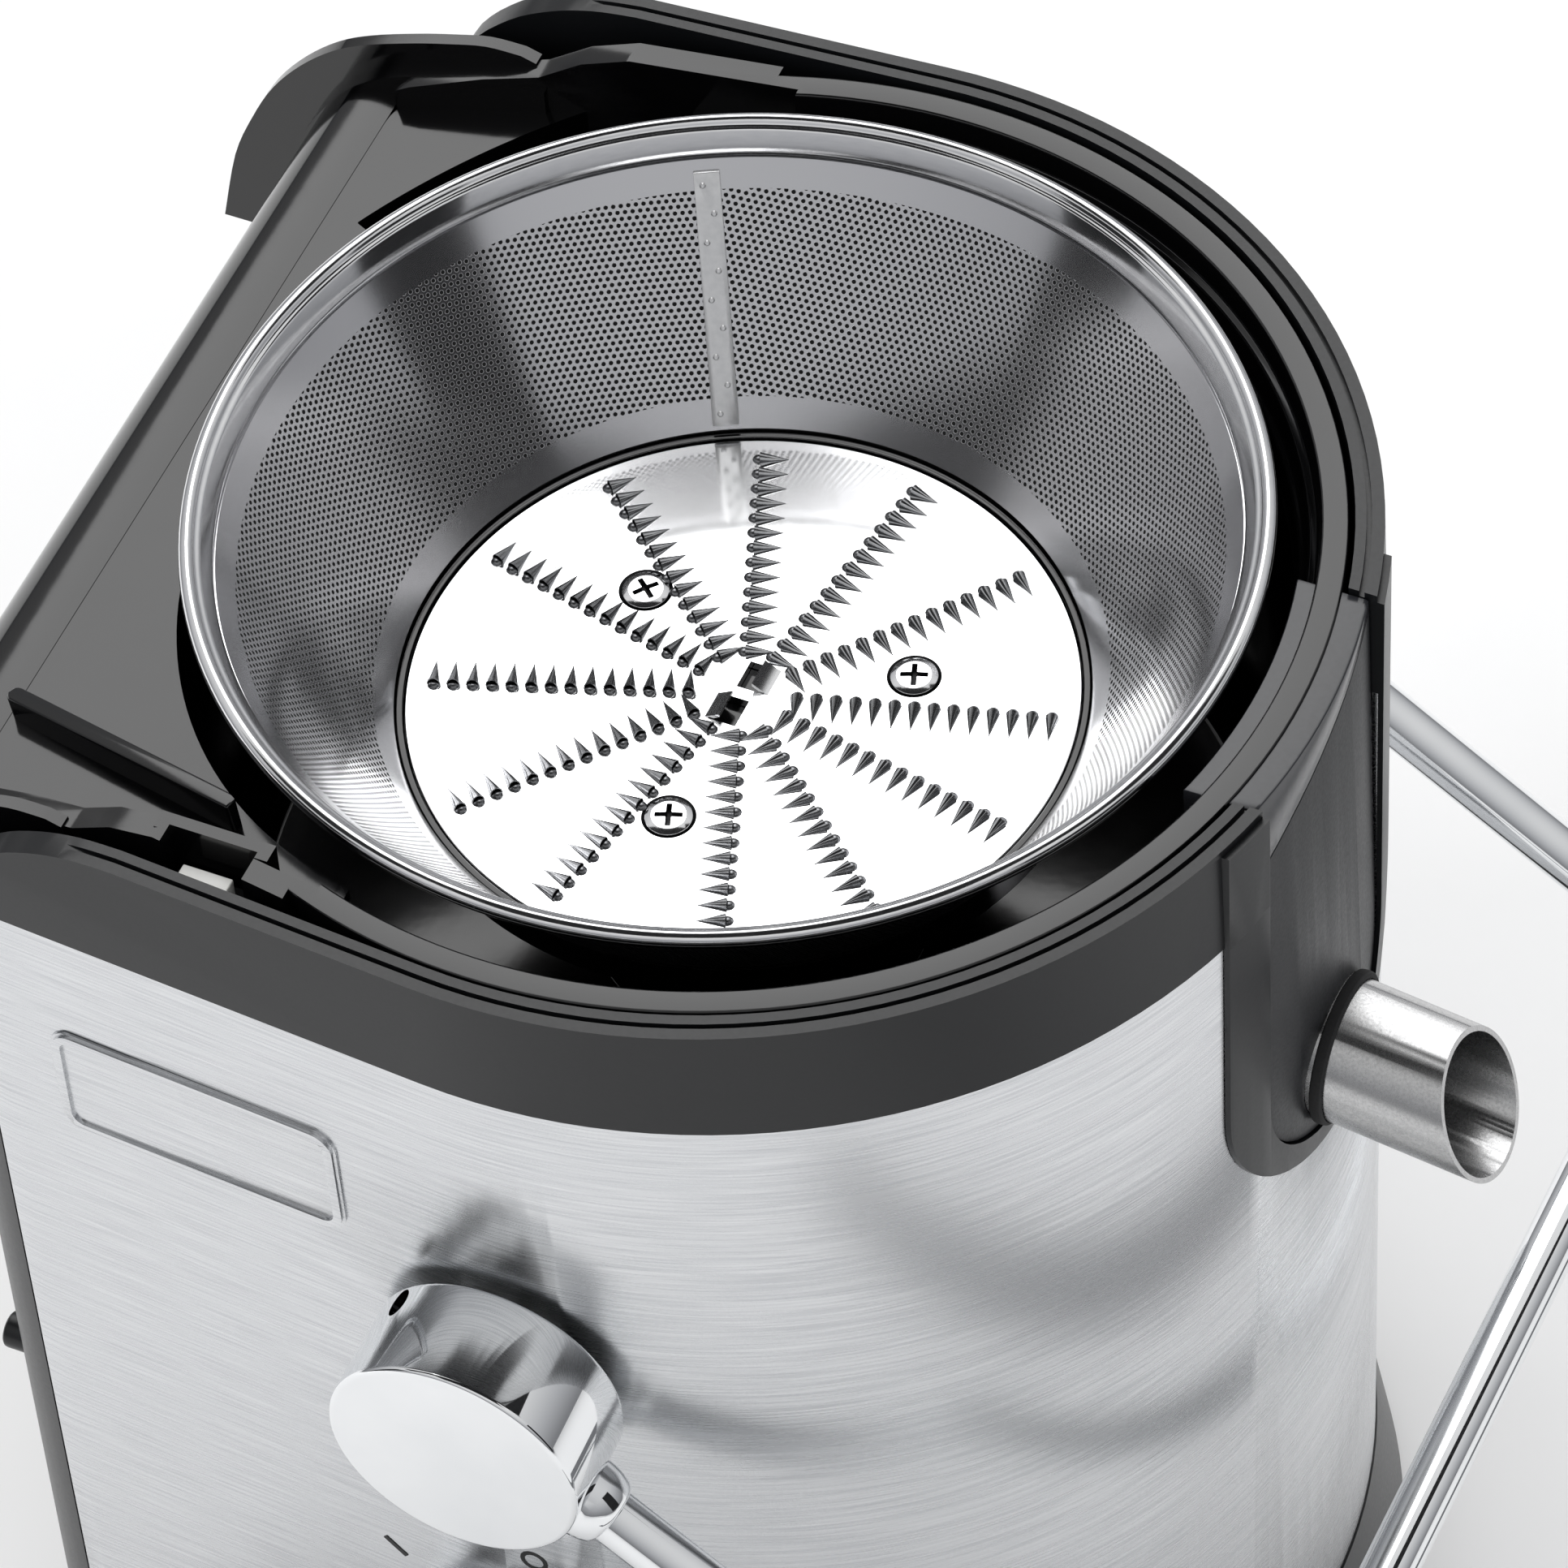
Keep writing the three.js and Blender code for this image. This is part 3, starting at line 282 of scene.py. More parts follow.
def ease(piece, width, segments=2, angle=35):
    """Rounds the sharp edges of a finished solid."""
    clear_selection()
    bevel = piece.modifiers.new("eased edges", "BEVEL")
    bevel.width = width
    bevel.segments = segments
    bevel.limit_method = "ANGLE"
    bevel.angle_limit = math.radians(angle)
    bevel.miter_outer = "MITER_ARC"
    bpy.context.view_layer.objects.active = piece
    bpy.ops.object.modifier_apply(modifier=bevel.name)
    return piece


def fit(piece, body, nodes, finish, smooth=32, level=False):
    """Shrinks a finished piece into the frame, ties it to its body and hides the nodes it stands
    for.

    level keeps the shading of a large flat face flat where it meets a rounded edge."""
    moved(piece, Matrix.Translation((SPINDLE_X, 0, 0)) @ Matrix.Scale(MM, 4))
    clear_selection()
    piece.select_set(True)
    bpy.context.view_layer.objects.active = piece
    bpy.ops.object.shade_smooth_by_angle(angle=math.radians(smooth))
    if level:
        weighted = piece.modifiers.new("level", "WEIGHTED_NORMAL")
        weighted.keep_sharp = True
        bpy.ops.object.modifier_apply(modifier=weighted.name)
    piece.data.materials.clear()
    piece.data.materials.append(finish)
    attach(piece, body)
    if nodes:
        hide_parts(*nodes)
    print(f"{piece.name}: {len(piece.data.polygons)} faces on {body}")
    return piece


# %% [markdown]
# ## Finishes
#
# A finish is named for the material and how its surface was made. Colours are written
# as sRGB hex values, as a paint card gives them, and turned to linear light by one
# function. Every grain scale is worked out from a real size in millimetres: noise of
# scale 1 has features about a metre across, so a 0.3 mm grain needs a scale of 3300.

# %% Colour and node helpers


def linear(hex_value):
    """An sRGB hex colour as linear red, green, blue and alpha."""
    parts = [int(hex_value[i : i + 2], 16) / 255 for i in (1, 3, 5)]
    light = [p / 12.92 if p <= 0.04045 else ((p + 0.055) / 1.055) ** 2.4 for p in parts]
    return (*light, 1.0)


def put(tree, kind, sockets=None, **settings):
    """Adds a node. A socket's value may be a number or another node's output."""
    node = tree.nodes.new("ShaderNode" + kind)
    for key, value in settings.items():
        setattr(node, key, value)
    for key, value in (sockets or {}).items():
        if isinstance(value, bpy.types.NodeSocket):
            tree.links.new(value, node.inputs[key])
        else:
            node.inputs[key].default_value = value
    return node


def per_metre(size_mm):
    """The noise scale whose features are about that size."""
    return 1000 / size_mm


def surface(name, metallic=0.0, **constants):
    """A new material with its shader, ready for patterns."""
    material = bpy.data.materials.new(name)
    material.use_nodes = True
    tree = material.node_tree
    shader = tree.nodes["Principled BSDF"]
    shader.inputs["Metallic"].default_value = metallic
    for key, value in constants.items():
        shader.inputs[key.replace("_", " ")].default_value = value
    return material, tree, shader


def grained(name, light, dark, rough, metallic=0.0, grain=(0.5, 0.5, 0.5), bump=0.02,
            detail=3.0, **constants):
    """A finish whose colour, roughness and height follow one grain.

    grain is the feature size in millimetres along x, y and z; bump is its height."""
    material, tree, shader = surface(name, metallic, **constants)
    place = put(tree, "TexCoord").outputs["Object"]
    scale = tuple(per_metre(size) for size in grain)
    stretched = put(tree, "Mapping", {"Vector": place, "Scale": scale}).outputs[0]
    noise = put(tree, "TexNoise", {"Vector": stretched, "Scale": 1.0, "Detail": detail})
    tone = put(tree, "MixRGB", {"Fac": noise.outputs[0], "Color1": linear(light),
                                "Color2": linear(dark)})
    sheen = put(tree, "MapRange", {"Value": noise.outputs[0], "To Min": rough[0],
                                   "To Max": rough[1]})
    lift = put(tree, "Bump", {"Height": noise.outputs[0], "Strength": 0.6,
                              "Distance": bump * MM})
    tree.links.new(tone.outputs[0], shader.inputs["Base Color"])
    tree.links.new(sheen.outputs[0], shader.inputs["Roughness"])
    tree.links.new(lift.outputs[0], shader.inputs["Normal"])
    return material


# %% Plastics and rubber
# Injection-moulded ABS from a polished tool: almost black, with a mirror-like skin
# that waves a little over a centimetre.
gloss_black = grained("gloss_black_moulded_abs", "#09090A", "#050506", (0.08, 0.15),
                      grain=(9, 9, 9), bump=0.04, IOR=1.5)
# The same plastic from a fine-etched tool: light spreads into soft bands.
satin_black = grained("satin_black_moulded_abs", "#141517", "#0F1012", (0.28, 0.38),
                      grain=(0.6, 0.6, 0.6), bump=0.006, IOR=1.42)
# Spark-eroded texture, like very fine leather, drawn a little coarse to show.
grained_grey = grained("spark_textured_grey_abs", "#27282B", "#141517", (0.36, 0.56),
                       grain=(0.55, 0.55, 0.55), bump=0.06, IOR=1.5)
smooth_grey = grained("satin_grey_moulded_abs", "#2C2D31", "#27282B", (0.2, 0.28),
                      grain=(0.8, 0.8, 0.8), bump=0.005, IOR=1.5)
rubber = grained("moulded_black_rubber", "#1E1E1F", "#151516", (0.7, 0.88),
                 grain=(0.4, 0.4, 0.4), bump=0.02, IOR=1.5)
white_plastic = grained("white_moulded_nylon", "#ECECE9", "#E2E2DE", (0.32, 0.42),
                        grain=(1.5, 1.5, 1.5), bump=0.006, IOR=1.53)
carbon = grained("pressed_carbon", "#2C2C2E", "#1D1D1F", (0.6, 0.8),
                 grain=(0.3, 0.3, 0.3), bump=0.02)
printed_black = grained("printed_black_ink", "#161617", "#101011", (0.5, 0.6),
                        grain=(0.3, 0.3, 0.3), bump=0.004)

# %% Metals
# Stainless sheet brushed round the body: hair lines run level, a few centimetres long
# and a third of a millimetre apart.
brushed_steel = grained("level_brushed_stainless", "#ECEDEE", "#B4B6BA", (0.2, 0.34),
                        metallic=1.0, grain=(18, 18, 0.42), bump=0.02, detail=6.0,
                        Anisotropic=0.55)
# Spun and polished stainless: bright, with faint turning marks.
polished_steel = grained("polished_stainless", "#EDEDEE", "#DCDDDF", (0.07, 0.15),
                         metallic=1.0, grain=(3, 3, 0.6), bump=0.003)
# The seam strip is bare sheet between the welding wheels, so it is paler and softer.
strip_steel = grained("bare_rolled_stainless", "#F4F4F4", "#DADBDC", (0.3, 0.42),
                      metallic=1.0, grain=(1.2, 1.2, 1.2), bump=0.004)
# The disc is polished sheet, a little softer than a mirror.
disc_steel = grained("polished_disc_stainless", "#F1F1F2", "#E4E5E6", (0.06, 0.13),
                     metallic=1.0, grain=(7, 7, 7), bump=0.003)
# The punch tears and burnishes the teeth, so they are duller than the plate.
spike_steel = grained("punched_tooth_stainless", "#C4C5C7", "#A2A3A5", (0.12, 0.2),
                      metallic=1.0, grain=(0.8, 0.8, 0.8), bump=0.003)
dimple_steel = grained("drawn_dimple_stainless", "#8B8C8E", "#6E6F72", (0.22, 0.34),
                       metallic=1.0, grain=(0.6, 0.6, 0.6), bump=0.004)
# Painted shade: recesses are coloured dark as though in shadow, so they stay dark between the
# bright faces.
painted_shade_recess = grained("darkened_steel_recess", "#2B2B2D", "#171718", (0.35, 0.55),
                      metallic=0.6, grain=(0.5, 0.5, 0.5), bump=0.004)
# Drawn tube left as it comes from the mill: fine grit, brighter and duller by turns.
drawn_steel = grained("drawn_stainless_tube", "#D2D2D2", "#A8A8A9", (0.2, 0.34),
                      metallic=1.0, grain=(0.45, 0.45, 0.45), bump=0.006, detail=5.0)
chrome = grained("bright_chrome_plate", "#F3F4F5", "#E6E8EA", (0.02, 0.06),
                 metallic=1.0, grain=(14, 14, 14), bump=0.004)
zinc = grained("zinc_plated_steel", "#BFC1C3", "#9A9CA0", (0.32, 0.5),
               metallic=1.0, grain=(1.6, 1.6, 1.6), bump=0.01)
brass = grained("pressed_brass", "#C9A95E", "#AE8C45", (0.25, 0.4),
                metallic=1.0, grain=(2, 2, 2), bump=0.006)
# Stacked iron sheets half a millimetre thick, so the grain lies in level layers.
laminations = grained("stacked_iron_laminations", "#85878B", "#4C4E52", (0.4, 0.6),
                      metallic=1.0, grain=(40, 40, 0.5), bump=0.05)
# Enamelled copper wire of about half a millimetre, wound in level turns.
copper_wire = grained("enamelled_copper_windings", "#C47A44", "#7A3D1B", (0.25, 0.4),
                      metallic=1.0, grain=(12, 12, 0.5), bump=0.12)
for material in bpy.data.materials:
    if material.use_nodes and "Principled BSDF" in material.node_tree.nodes:
        print("finish:", material.name)

# %% [markdown]
# ## Perforated filter sheet
#
# The filter is punched from flat sheet and rolled into a cone, so its holes keep the
# even rows of the flat sheet. The mesh gets a UV map that unrolls the cone in
# millimetres, and the material lays two square-set grids of dots over each other, which
# together make the staggered rows. Drawing eight thousand real holes would cost more
# faces than the whole juicer, so the holes are dark, rough dots with a dished edge.

# %% Perforated finish
HOLE_PITCH = 1.15
HOLE_R = 0.35
PUNCHED_TOP = RIM_Z - 9.3
PUNCHED_BOTTOM = RIM_Z - 36.3


def perforated(name):
    material, tree, shader = surface(name, 1.0)
    flat = put(tree, "UVMap", uv_map="unrolled_mm").outputs[0]
    cell = (HOLE_PITCH, HOLE_PITCH * math.sqrt(3), 1.0)
    half = tuple(c / 2 for c in cell)
    nearest = []
    for shift in ((0, 0, 0), half):
        near = put(tree, "VectorMath", {0: flat, 1: shift}, operation="ADD").outputs[0]
        wrap = put(tree, "VectorMath", {0: near, 1: half, 2: tuple(-h for h in half)},
                   operation="WRAP")
        level = put(tree, "VectorMath", {0: wrap.outputs[0], 1: (1, 1, 0)},
                    operation="MULTIPLY")
        length = put(tree, "VectorMath", {0: level.outputs[0]}, operation="LENGTH")
        nearest.append(length.outputs["Value"])
    centre = put(tree, "Math", {0: nearest[0], 1: nearest[1]}, operation="MINIMUM")
    edge = put(tree, "MapRange", {"Value": centre.outputs[0], "From Min": HOLE_R - 0.05,
                                  "From Max": HOLE_R + 0.05}, interpolation_type="SMOOTHSTEP")
    height = put(tree, "SeparateXYZ", {0: put(tree, "TexCoord").outputs["Object"]}).outputs[2]
    below = put(tree, "Math", {0: height, 1: PUNCHED_TOP * MM}, operation="LESS_THAN")
    above = put(tree, "Math", {0: height, 1: PUNCHED_BOTTOM * MM}, operation="GREATER_THAN")
    band = put(tree, "Math", {0: below.outputs[0], 1: above.outputs[0]}, operation="MULTIPLY")
    hole = put(tree, "Math", {0: 1.0, 1: edge.outputs[0]}, operation="SUBTRACT")
    hole = put(tree, "Math", {0: hole.outputs[0], 1: band.outputs[0]},
               operation="MULTIPLY").outputs[0]
    tone = put(tree, "MixRGB", {"Fac": hole, "Color1": linear("#E2E2E4"),
                                "Color2": linear("#0B0B0C")})
    rough = put(tree, "MapRange", {"Value": hole, "To Min": 0.16, "To Max": 0.9})
    metal = put(tree, "Math", {0: 1.0, 1: hole}, operation="SUBTRACT")
    bump = put(tree, "Bump", {"Height": metal.outputs[0], "Strength": 0.35,
                              "Distance": 0.1 * MM})
    tree.links.new(tone.outputs[0], shader.inputs["Base Color"])
    tree.links.new(rough.outputs[0], shader.inputs["Roughness"])
    tree.links.new(metal.outputs[0], shader.inputs["Metallic"])
    tree.links.new(bump.outputs[0], shader.inputs["Normal"])
    return material


punched_steel = perforated("punched_stainless_sheet")
print("filter holes every", HOLE_PITCH, "mm")

# %% [markdown]
# ## The rolled rim
#
# The basket's upper edge is a strip of thick stainless, rolled over a wire so that it
# is stiff and safe to hold. Its section is a small hook: a rounded outer bead, a
# shallow valley and an inner lip that clamps the filter. The section is traced, eased
# and spun round the spindle.

# %% Basket rim
rim_section = eased([
    (BASKET_R, RIM_Z - 1.8), (BASKET_R - 0.3, RIM_Z - 0.5), (BASKET_R - 1.4, RIM_Z),
    (BASKET_R - 2.1, RIM_Z - 0.35), (BASKET_R - 2.5, RIM_Z - 1.0),
    (BASKET_R - 3.2, RIM_Z - 1.2), (BASKET_R - 4.6, RIM_Z - 3.6),
    (BASKET_R - 5.0, RIM_Z - 4.6), (BASKET_R - 4.2, RIM_Z - 4.9),
    (BASKET_R - 2.4, RIM_Z - 3.1), (BASKET_R - 0.9, RIM_Z - 3.2),
], 0.5)
rim = turned("rolled_basket_rim", rim_section, steps=180)
fit(rim, "basket", ["basket_rim"], polished_steel, smooth=50)

# %% Filter cone with its unrolled map
CONE_LOW_R = HUB_R + 0.3
CONE_HIGH_R = BASKET_R - 5.1
CONE_LOW_Z = DISC_Z + 0.8
CONE_HIGH_Z = RIM_Z - 5.3
cone_section = [
    (CONE_LOW_R, DISC_Z - 4.6), (CONE_LOW_R + 1, DISC_Z - 4.6),
    (CONE_LOW_R + 1.05, CONE_LOW_Z - 0.3), (CONE_HIGH_R + 1, CONE_HIGH_Z),
    (CONE_HIGH_R, CONE_HIGH_Z), (CONE_LOW_R, CONE_LOW_Z),
]
cone = turned("perforated_filter_cone", cone_section, steps=180)


def unroll(piece, seam_degrees):
    """Gives the cone a UV map in millimetres, laid out like the flat sheet."""
    run = CONE_HIGH_R - CONE_LOW_R
    half_angle = math.atan2(run, CONE_HIGH_Z - CONE_LOW_Z)
    layer = piece.data.uv_layers.new(name="unrolled_mm")
    for face in piece.data.polygons:
        middle = math.degrees(math.atan2(face.center.y, face.center.x))
        base = (middle - seam_degrees) % 360
        for corner in face.loop_indices:
            point = piece.data.vertices[piece.data.loops[corner].vertex_index].co
            angle = math.degrees(math.atan2(point.y, point.x)) - seam_degrees
            angle += 360 * round((base - angle) / 360)
            slant = math.hypot(point.x, point.y) / math.sin(half_angle)
            spread = math.radians(angle) * math.sin(half_angle)
            layer.data[corner].uv = (slant * math.sin(spread), slant * math.cos(spread))
    print("cone half angle", round(math.degrees(half_angle), 1))


SEAM_ANGLE = 117
unroll(cone, SEAM_ANGLE)
fit(cone, "basket", ["basket_filter"], punched_steel)

# %% [markdown]
# ## Seam strip and spot welds
#
# The rolled sheet is closed by a narrow strip, spot welded every few millimetres. The
# strip follows the slope of the cone, so it is traced beside the cone, pushed to its
# width and turned to the seam. Each weld is a tiny dished dot.

# %% Seam strip


def cone_radius(z):
    share = (z - CONE_LOW_Z) / (CONE_HIGH_Z - CONE_LOW_Z)
    return CONE_LOW_R + (CONE_HIGH_R - CONE_LOW_R) * share


strip_low, strip_high = DISC_Z + 1.8, RIM_Z - 6.6
strip = side_slab("seam_strip", [
    (cone_radius(strip_low) - 0.8, strip_low), (cone_radius(strip_low) - 0.3, strip_low),
    (cone_radius(strip_high) - 0.3, strip_high), (cone_radius(strip_high) - 0.8, strip_high),
], -2, 2)
ease(strip, 0.12)
slope = math.degrees(math.atan2(CONE_HIGH_R - CONE_LOW_R, CONE_HIGH_Z - CONE_LOW_Z))
welds = 9
for i in range(welds):
    z = strip_low + 1.6 + (strip_high - strip_low - 3.2) * i / (welds - 1)
    weld = turned("weld", [(0, 0.2), (0.28, 0.2), (0.5, 0), (0.5, -0.3), (0, -0.3)], steps=14)
    moved(weld, turn("Y", -90 + slope))
    moved(weld, Matrix.Translation((cone_radius(z) - 0.84, 0.7 * (-1) ** i, z)))
    join(strip, weld)
moved(strip, turn("Z", SEAM_ANGLE))
fit(strip, "basket", ["basket_seam_strip"], strip_steel)

# %% [markdown]
# ## Hub ring
#
# The disc sits in a black moulded hub, of which only a thin ring shows from above.
# Below it a skirt and a long socket reach down to the drive coupling.

# %% Basket hub
hub_section = eased([
    (0, DISC_Z - 1.7), (DISC_R + 0.3, DISC_Z - 1.7), (DISC_R + 0.3, DISC_Z + 0.3),
    (HUB_R, DISC_Z + 0.3), (HUB_R, DISC_Z - 5), (29, DISC_Z - 5), (29, DISC_Z - 22),
    (27, DISC_Z - 22), (27, DISC_Z - 5.2), (20, DISC_Z - 5.2), (20, 170), (13.3, 170),
    (13.3, DISC_Z - 10.5), (0, DISC_Z - 10.5),
], 0.25)
hub_section[0:4] = [(0, DISC_Z - 1.7)]
hub_section[-4:] = [(0, DISC_Z - 10.5)]
hub = turned("basket_hub_moulding", hub_section, steps=144)
for i in range(6):
    lug = block("lug", (0, -2.5, 169), (17.4, 2.5, DISC_Z - 10.5))
    cut(hub, moved(lug, turn("Z", 60 * i)))
fit(hub, "basket", ["basket_hub"], gloss_black)

# %% [markdown]
# ## The cutting disc
#
# The grater disc is polished stainless with three countersunk screws and two lanced
# tabs near the middle. The plate is turned first, then sunk for the screws, and each
# tab is a small bent slab that stands beside the slot it was cut from.

# %% Disc plate
DISC_SCREW_R = 25.5
SCREW_ANGLES = (29, 149, 269)
plate = turned("cutting_disc_plate", eased([
    (0, DISC_Z - 1.5), (DISC_R, DISC_Z - 1.5), (DISC_R, DISC_Z), (0, DISC_Z),
], 0.3)[4:-4] + [(0, DISC_Z), (0, DISC_Z - 1.5)], steps=180)
for angle in SCREW_ANGLES:
    sink = turned("sink", [(0, -3), (2.3, -3), (2.3, -1.5), (4.1, -0.2), (4.1, 3), (0, 3)],
                  steps=48)
    moved(sink, Matrix.Translation((DISC_SCREW_R, 0, DISC_Z)))
    cut(plate, moved(sink, turn("Z", angle)))
for angle in (0, 180):
    cut(plate, moved(block("lance", (-1.5, 1, DISC_Z - 4), (2.9, 6.2, DISC_Z + 4)),
                     turn("Z", angle)))
    tab = side_slab("tab", [(3.7, -0.6), (3.7, 0), (3.0, 0.25), (1.6, 1.15), (1, 1.5),
                            (1, 0.9), (2.2, 0.1), (3.2, -0.6)], 1.15, 6.05)
    moved(tab, Matrix.Translation((0, 0, DISC_Z)))
    join(plate, moved(tab, turn("Z", angle)))
print("disc plate faces", len(plate.data.polygons))

# %% [markdown]
# ## One tooth and its rows
#
# The punch tears a hollow spike out of the sheet and pushes a small dome up behind it.
# The spike is a cone without ends, laid down, halved and given a wall, and the dome is
# turned. They are joined spike first, so that their faces can be told apart later, and
# the tooth is then copied along twelve rows.

# %% One tooth: a hollow spike with a domed head
SPIKE_R, SPIKE_TIP_R, SPIKE_LENGTH = 1.05, 0.04, 4.3
SPIKE_RISE, SPIKE_SUNK, SPIKE_WALL = 1.25, 0.1, 0.16
HEAD_BACK = 0.28
clear_selection()
bpy.ops.mesh.primitive_cone_add(vertices=12, radius1=SPIKE_R, radius2=SPIKE_TIP_R,
                                depth=SPIKE_LENGTH, end_fill_type="NOTHING")
tooth = bpy.context.object
tooth.name = "tooth"
moved(tooth, Matrix.Translation((0, -SPIKE_LENGTH / 2, 0))
      @ Matrix.Diagonal((1, 1, SPIKE_RISE, 1)) @ turn("X", 90))
bpy.context.view_layer.objects.active = tooth
bpy.ops.object.mode_set(mode="EDIT")
bpy.ops.mesh.select_all(action="SELECT")
bpy.ops.mesh.bisect(plane_co=(0, 0, -SPIKE_SUNK), plane_no=(0, 0, 1), clear_inner=True)
bpy.ops.object.mode_set(mode="OBJECT")
sheet = tooth.modifiers.new("wall", "SOLIDIFY")
sheet.thickness, sheet.offset = SPIKE_WALL, -1
bpy.context.view_layer.objects.active = tooth
bpy.ops.object.modifier_apply(modifier=sheet.name)
spike_faces = len(tooth.data.polygons)
head = turned("head", [(0, 0.62), (0.45, 0.52), (0.82, 0.24), (0.98, -0.15), (0, -0.15)],
              steps=12)
moved(head, Matrix.Translation((0, HEAD_BACK, 0)))
clear_selection()
head.select_set(True)
tooth.select_set(True)
bpy.context.view_layer.objects.active = tooth
bpy.ops.object.join()
tooth_faces = len(tooth.data.polygons)
print("faces in a tooth", tooth_faces)

# %% Twelve rows of teeth
TOOTH_ROWS = (15.5, 51, 80.5, 111, 140, 167, 199, 230, 258, 291, 319, 349)
TEETH = 14
TOOTH_R, TOOTH_PITCH = 8.1, 2.93
teeth = []
for row in TOOTH_ROWS:
    for i in range(TEETH):
        one = copy_of(tooth, "tooth_copy")
        moved(one, Matrix.Translation((TOOTH_R + i * TOOTH_PITCH, 0, DISC_Z)))
        teeth.append(moved(one, turn("Z", row)))
bpy.data.objects.remove(tooth)
plate_faces = len(plate.data.polygons)
clear_selection()
for one in [*teeth, plate]:
    one.select_set(True)
bpy.context.view_layer.objects.active = plate
bpy.ops.object.join()
fit(plate, "basket", ["cutting_disc"], disc_steel, smooth=40)

# %% [markdown]
# ## Finishes on the disc
#
# The disc is one mesh with four finishes, one of them painted shade, and each face names its
# finish by an index.
# The plate's faces come first, then the spike and head of one tooth after another, so
# the index of a tooth's face follows from counting. The faces of the screw sinks are
# found by where they lie.

# %% Finishes of the spikes and heads, and painted shade in the screw sinks
SPIKE_INDEX, HEAD_INDEX, SINK_INDEX = 1, 2, 3
SINK_R, SINK_LOW, SINK_HIGH = 4.3, 1.45, 0.03
# The last of these is painted shade, laid on the screw sinks where shadow falls round the heads.
for finish in (spike_steel, dimple_steel, painted_shade_recess):
    plate.data.materials.append(finish)
screw_places = [turn("Z", a) @ Vector((DISC_SCREW_R, 0, 0)) for a in SCREW_ANGLES]
for face in plate.data.polygons:
    if face.index >= plate_faces:
        in_spike = (face.index - plate_faces) % tooth_faces < spike_faces
        face.material_index = SPIKE_INDEX if in_spike else HEAD_INDEX
        continue
    flat = Vector((face.center.x - SPINDLE_X, face.center.y, 0)) / MM
    sunk = (DISC_Z - SINK_LOW) * MM < face.center.z < (DISC_Z - SINK_HIGH) * MM
    if sunk and min((flat - place).length for place in screw_places) < SINK_R:
        face.material_index = SINK_INDEX
print("plate", plate_faces, "faces, teeth", len(plate.data.polygons) - plate_faces)

# %% Disc screws with crossed recesses
RECESS_INDEX = 1
RECESS_R, RECESS_LOW, RECESS_HIGH = 2.3, -1.4, 0.3
for i, (angle, cross_turn) in enumerate(zip(SCREW_ANGLES, (20, 50, 20))):
    head = turned(f"countersunk_screw_{i + 1}", eased([
        (0, -11), (1.7, -11), (1.7, -1.6), (3.6, -0.1), (3.6, 0.12), (2.6, 0.45), (0, 0.6),
    ], 0.15, closed=False), steps=48)
    cross = block("cross", (-2.1, -0.42, -0.9), (2.1, 0.42, 2))
    join(cross, block("cross_arm", (-0.42, -2.1, -0.9), (0.42, 2.1, 2)))
    ease(cross, 0.12)
    cut(head, moved(cross, turn("Z", cross_turn)))
    place = Matrix.Translation((DISC_SCREW_R * math.cos(math.radians(angle)),
                                DISC_SCREW_R * math.sin(math.radians(angle)), DISC_Z))
    fit(moved(head, place), "basket", [f"disc_screw_{i + 1}"], polished_steel)
    # The crossed recess of each screw is painted dark as shade.
    head.data.materials.append(painted_shade_recess)
    middle = Vector((SPINDLE_X, 0, 0)) + place.translation * MM
    middle.z = DISC_Z * MM
    for face in head.data.polygons:
        apart = face.center - middle
        near = math.hypot(apart.x, apart.y) < RECESS_R * MM
        sunk = RECESS_LOW * MM < apart.z < RECESS_HIGH * MM
        face.material_index = RECESS_INDEX if near and sunk else 0

# %% [markdown]
# ## Body outlines
#
# Seen from above, the juicer is a round right end whose two sides close a little
# towards a square left end with rounded corners. The steel, the black band, the skirt
# and the collector all follow this outline, so one function gives its points and
# another pushes it up with the slight draft of the steel.

# %% Outline of the body


def plan(radius, left=None, corner=None, taper=BODY_TAPER, steps=72):
    """The body's outline at a radius: round right end and two left corners."""
    left = BODY_LEFT if left is None else left
    corner = BODY_CORNER if corner is None else corner
    a = 90 + taper
    cosine, sine = math.cos(math.radians(a)), math.sin(math.radians(a))
    x = -left + corner
    y = (radius - corner - x * cosine) / sine
    return [*arc(0, 0, radius, -a, a, steps), *arc(x, y, corner, a, 180, 8),
            *arc(x, -y, corner, 180, 360 - a, 8)]


def grown(amount, radius=None):
    """The outline moved outwards all round."""
    radius = BODY_R if radius is None else radius
    return plan(radius + amount, BODY_LEFT + amount, max(BODY_CORNER + amount, 1))


def drafted(name, amount, low, high):
    """The body between two heights, with the draft of the steel."""
    piece = flat_slab(name, grown(amount, body_radius(low)), low, high)
    widen = (body_radius(high) + amount) / (body_radius(low) + amount)
    for vertex in piece.data.vertices:
        if vertex.co.z > (low + high) / 2:
            vertex.co.y *= widen
            vertex.co.x *= widen if vertex.co.x > 0 else 1
    return piece


def shell(name, amount, thickness, low, high):
    """A wall of the drafted body: its outside grown by an amount."""
    return cut(drafted(name, amount, low, high),
               drafted("core", amount - thickness, low - 1, high + 1))


def u_block(name, half, bottom, top, left=60, right=130):
    """A block with a round bottom along x, for the slot over the spout."""
    outline = [(half, top), (-half, top), *arc(0, bottom + half, half, 180, 360, 32)]
    return end_slab(name, outline, left, right)


def cross_rod(name, radius, x, z, near, far, steps=48):
    rod = turned(name, [(0, 0), (radius, 0), (radius, far - near), (0, far - near)], steps)
    moved(rod, Matrix.Rotation(math.radians(-90), 4, "X"))
    return moved(rod, Matrix.Translation((x, near, z)))


# %% [markdown]
# ## Juice collector
#
# The collector is the large glossy black moulding: a bowl round the basket with fine
# steps along its upper edge, a sloping deck that carries pulp off to the left, a round
# lip and two tall cheeks. On a real part it is one piece with walls about two
# millimetres thick. Here the turned bowl, the deck and the cheeks are joined as
# solids, the recesses are cut, and all edges are eased together at the end.

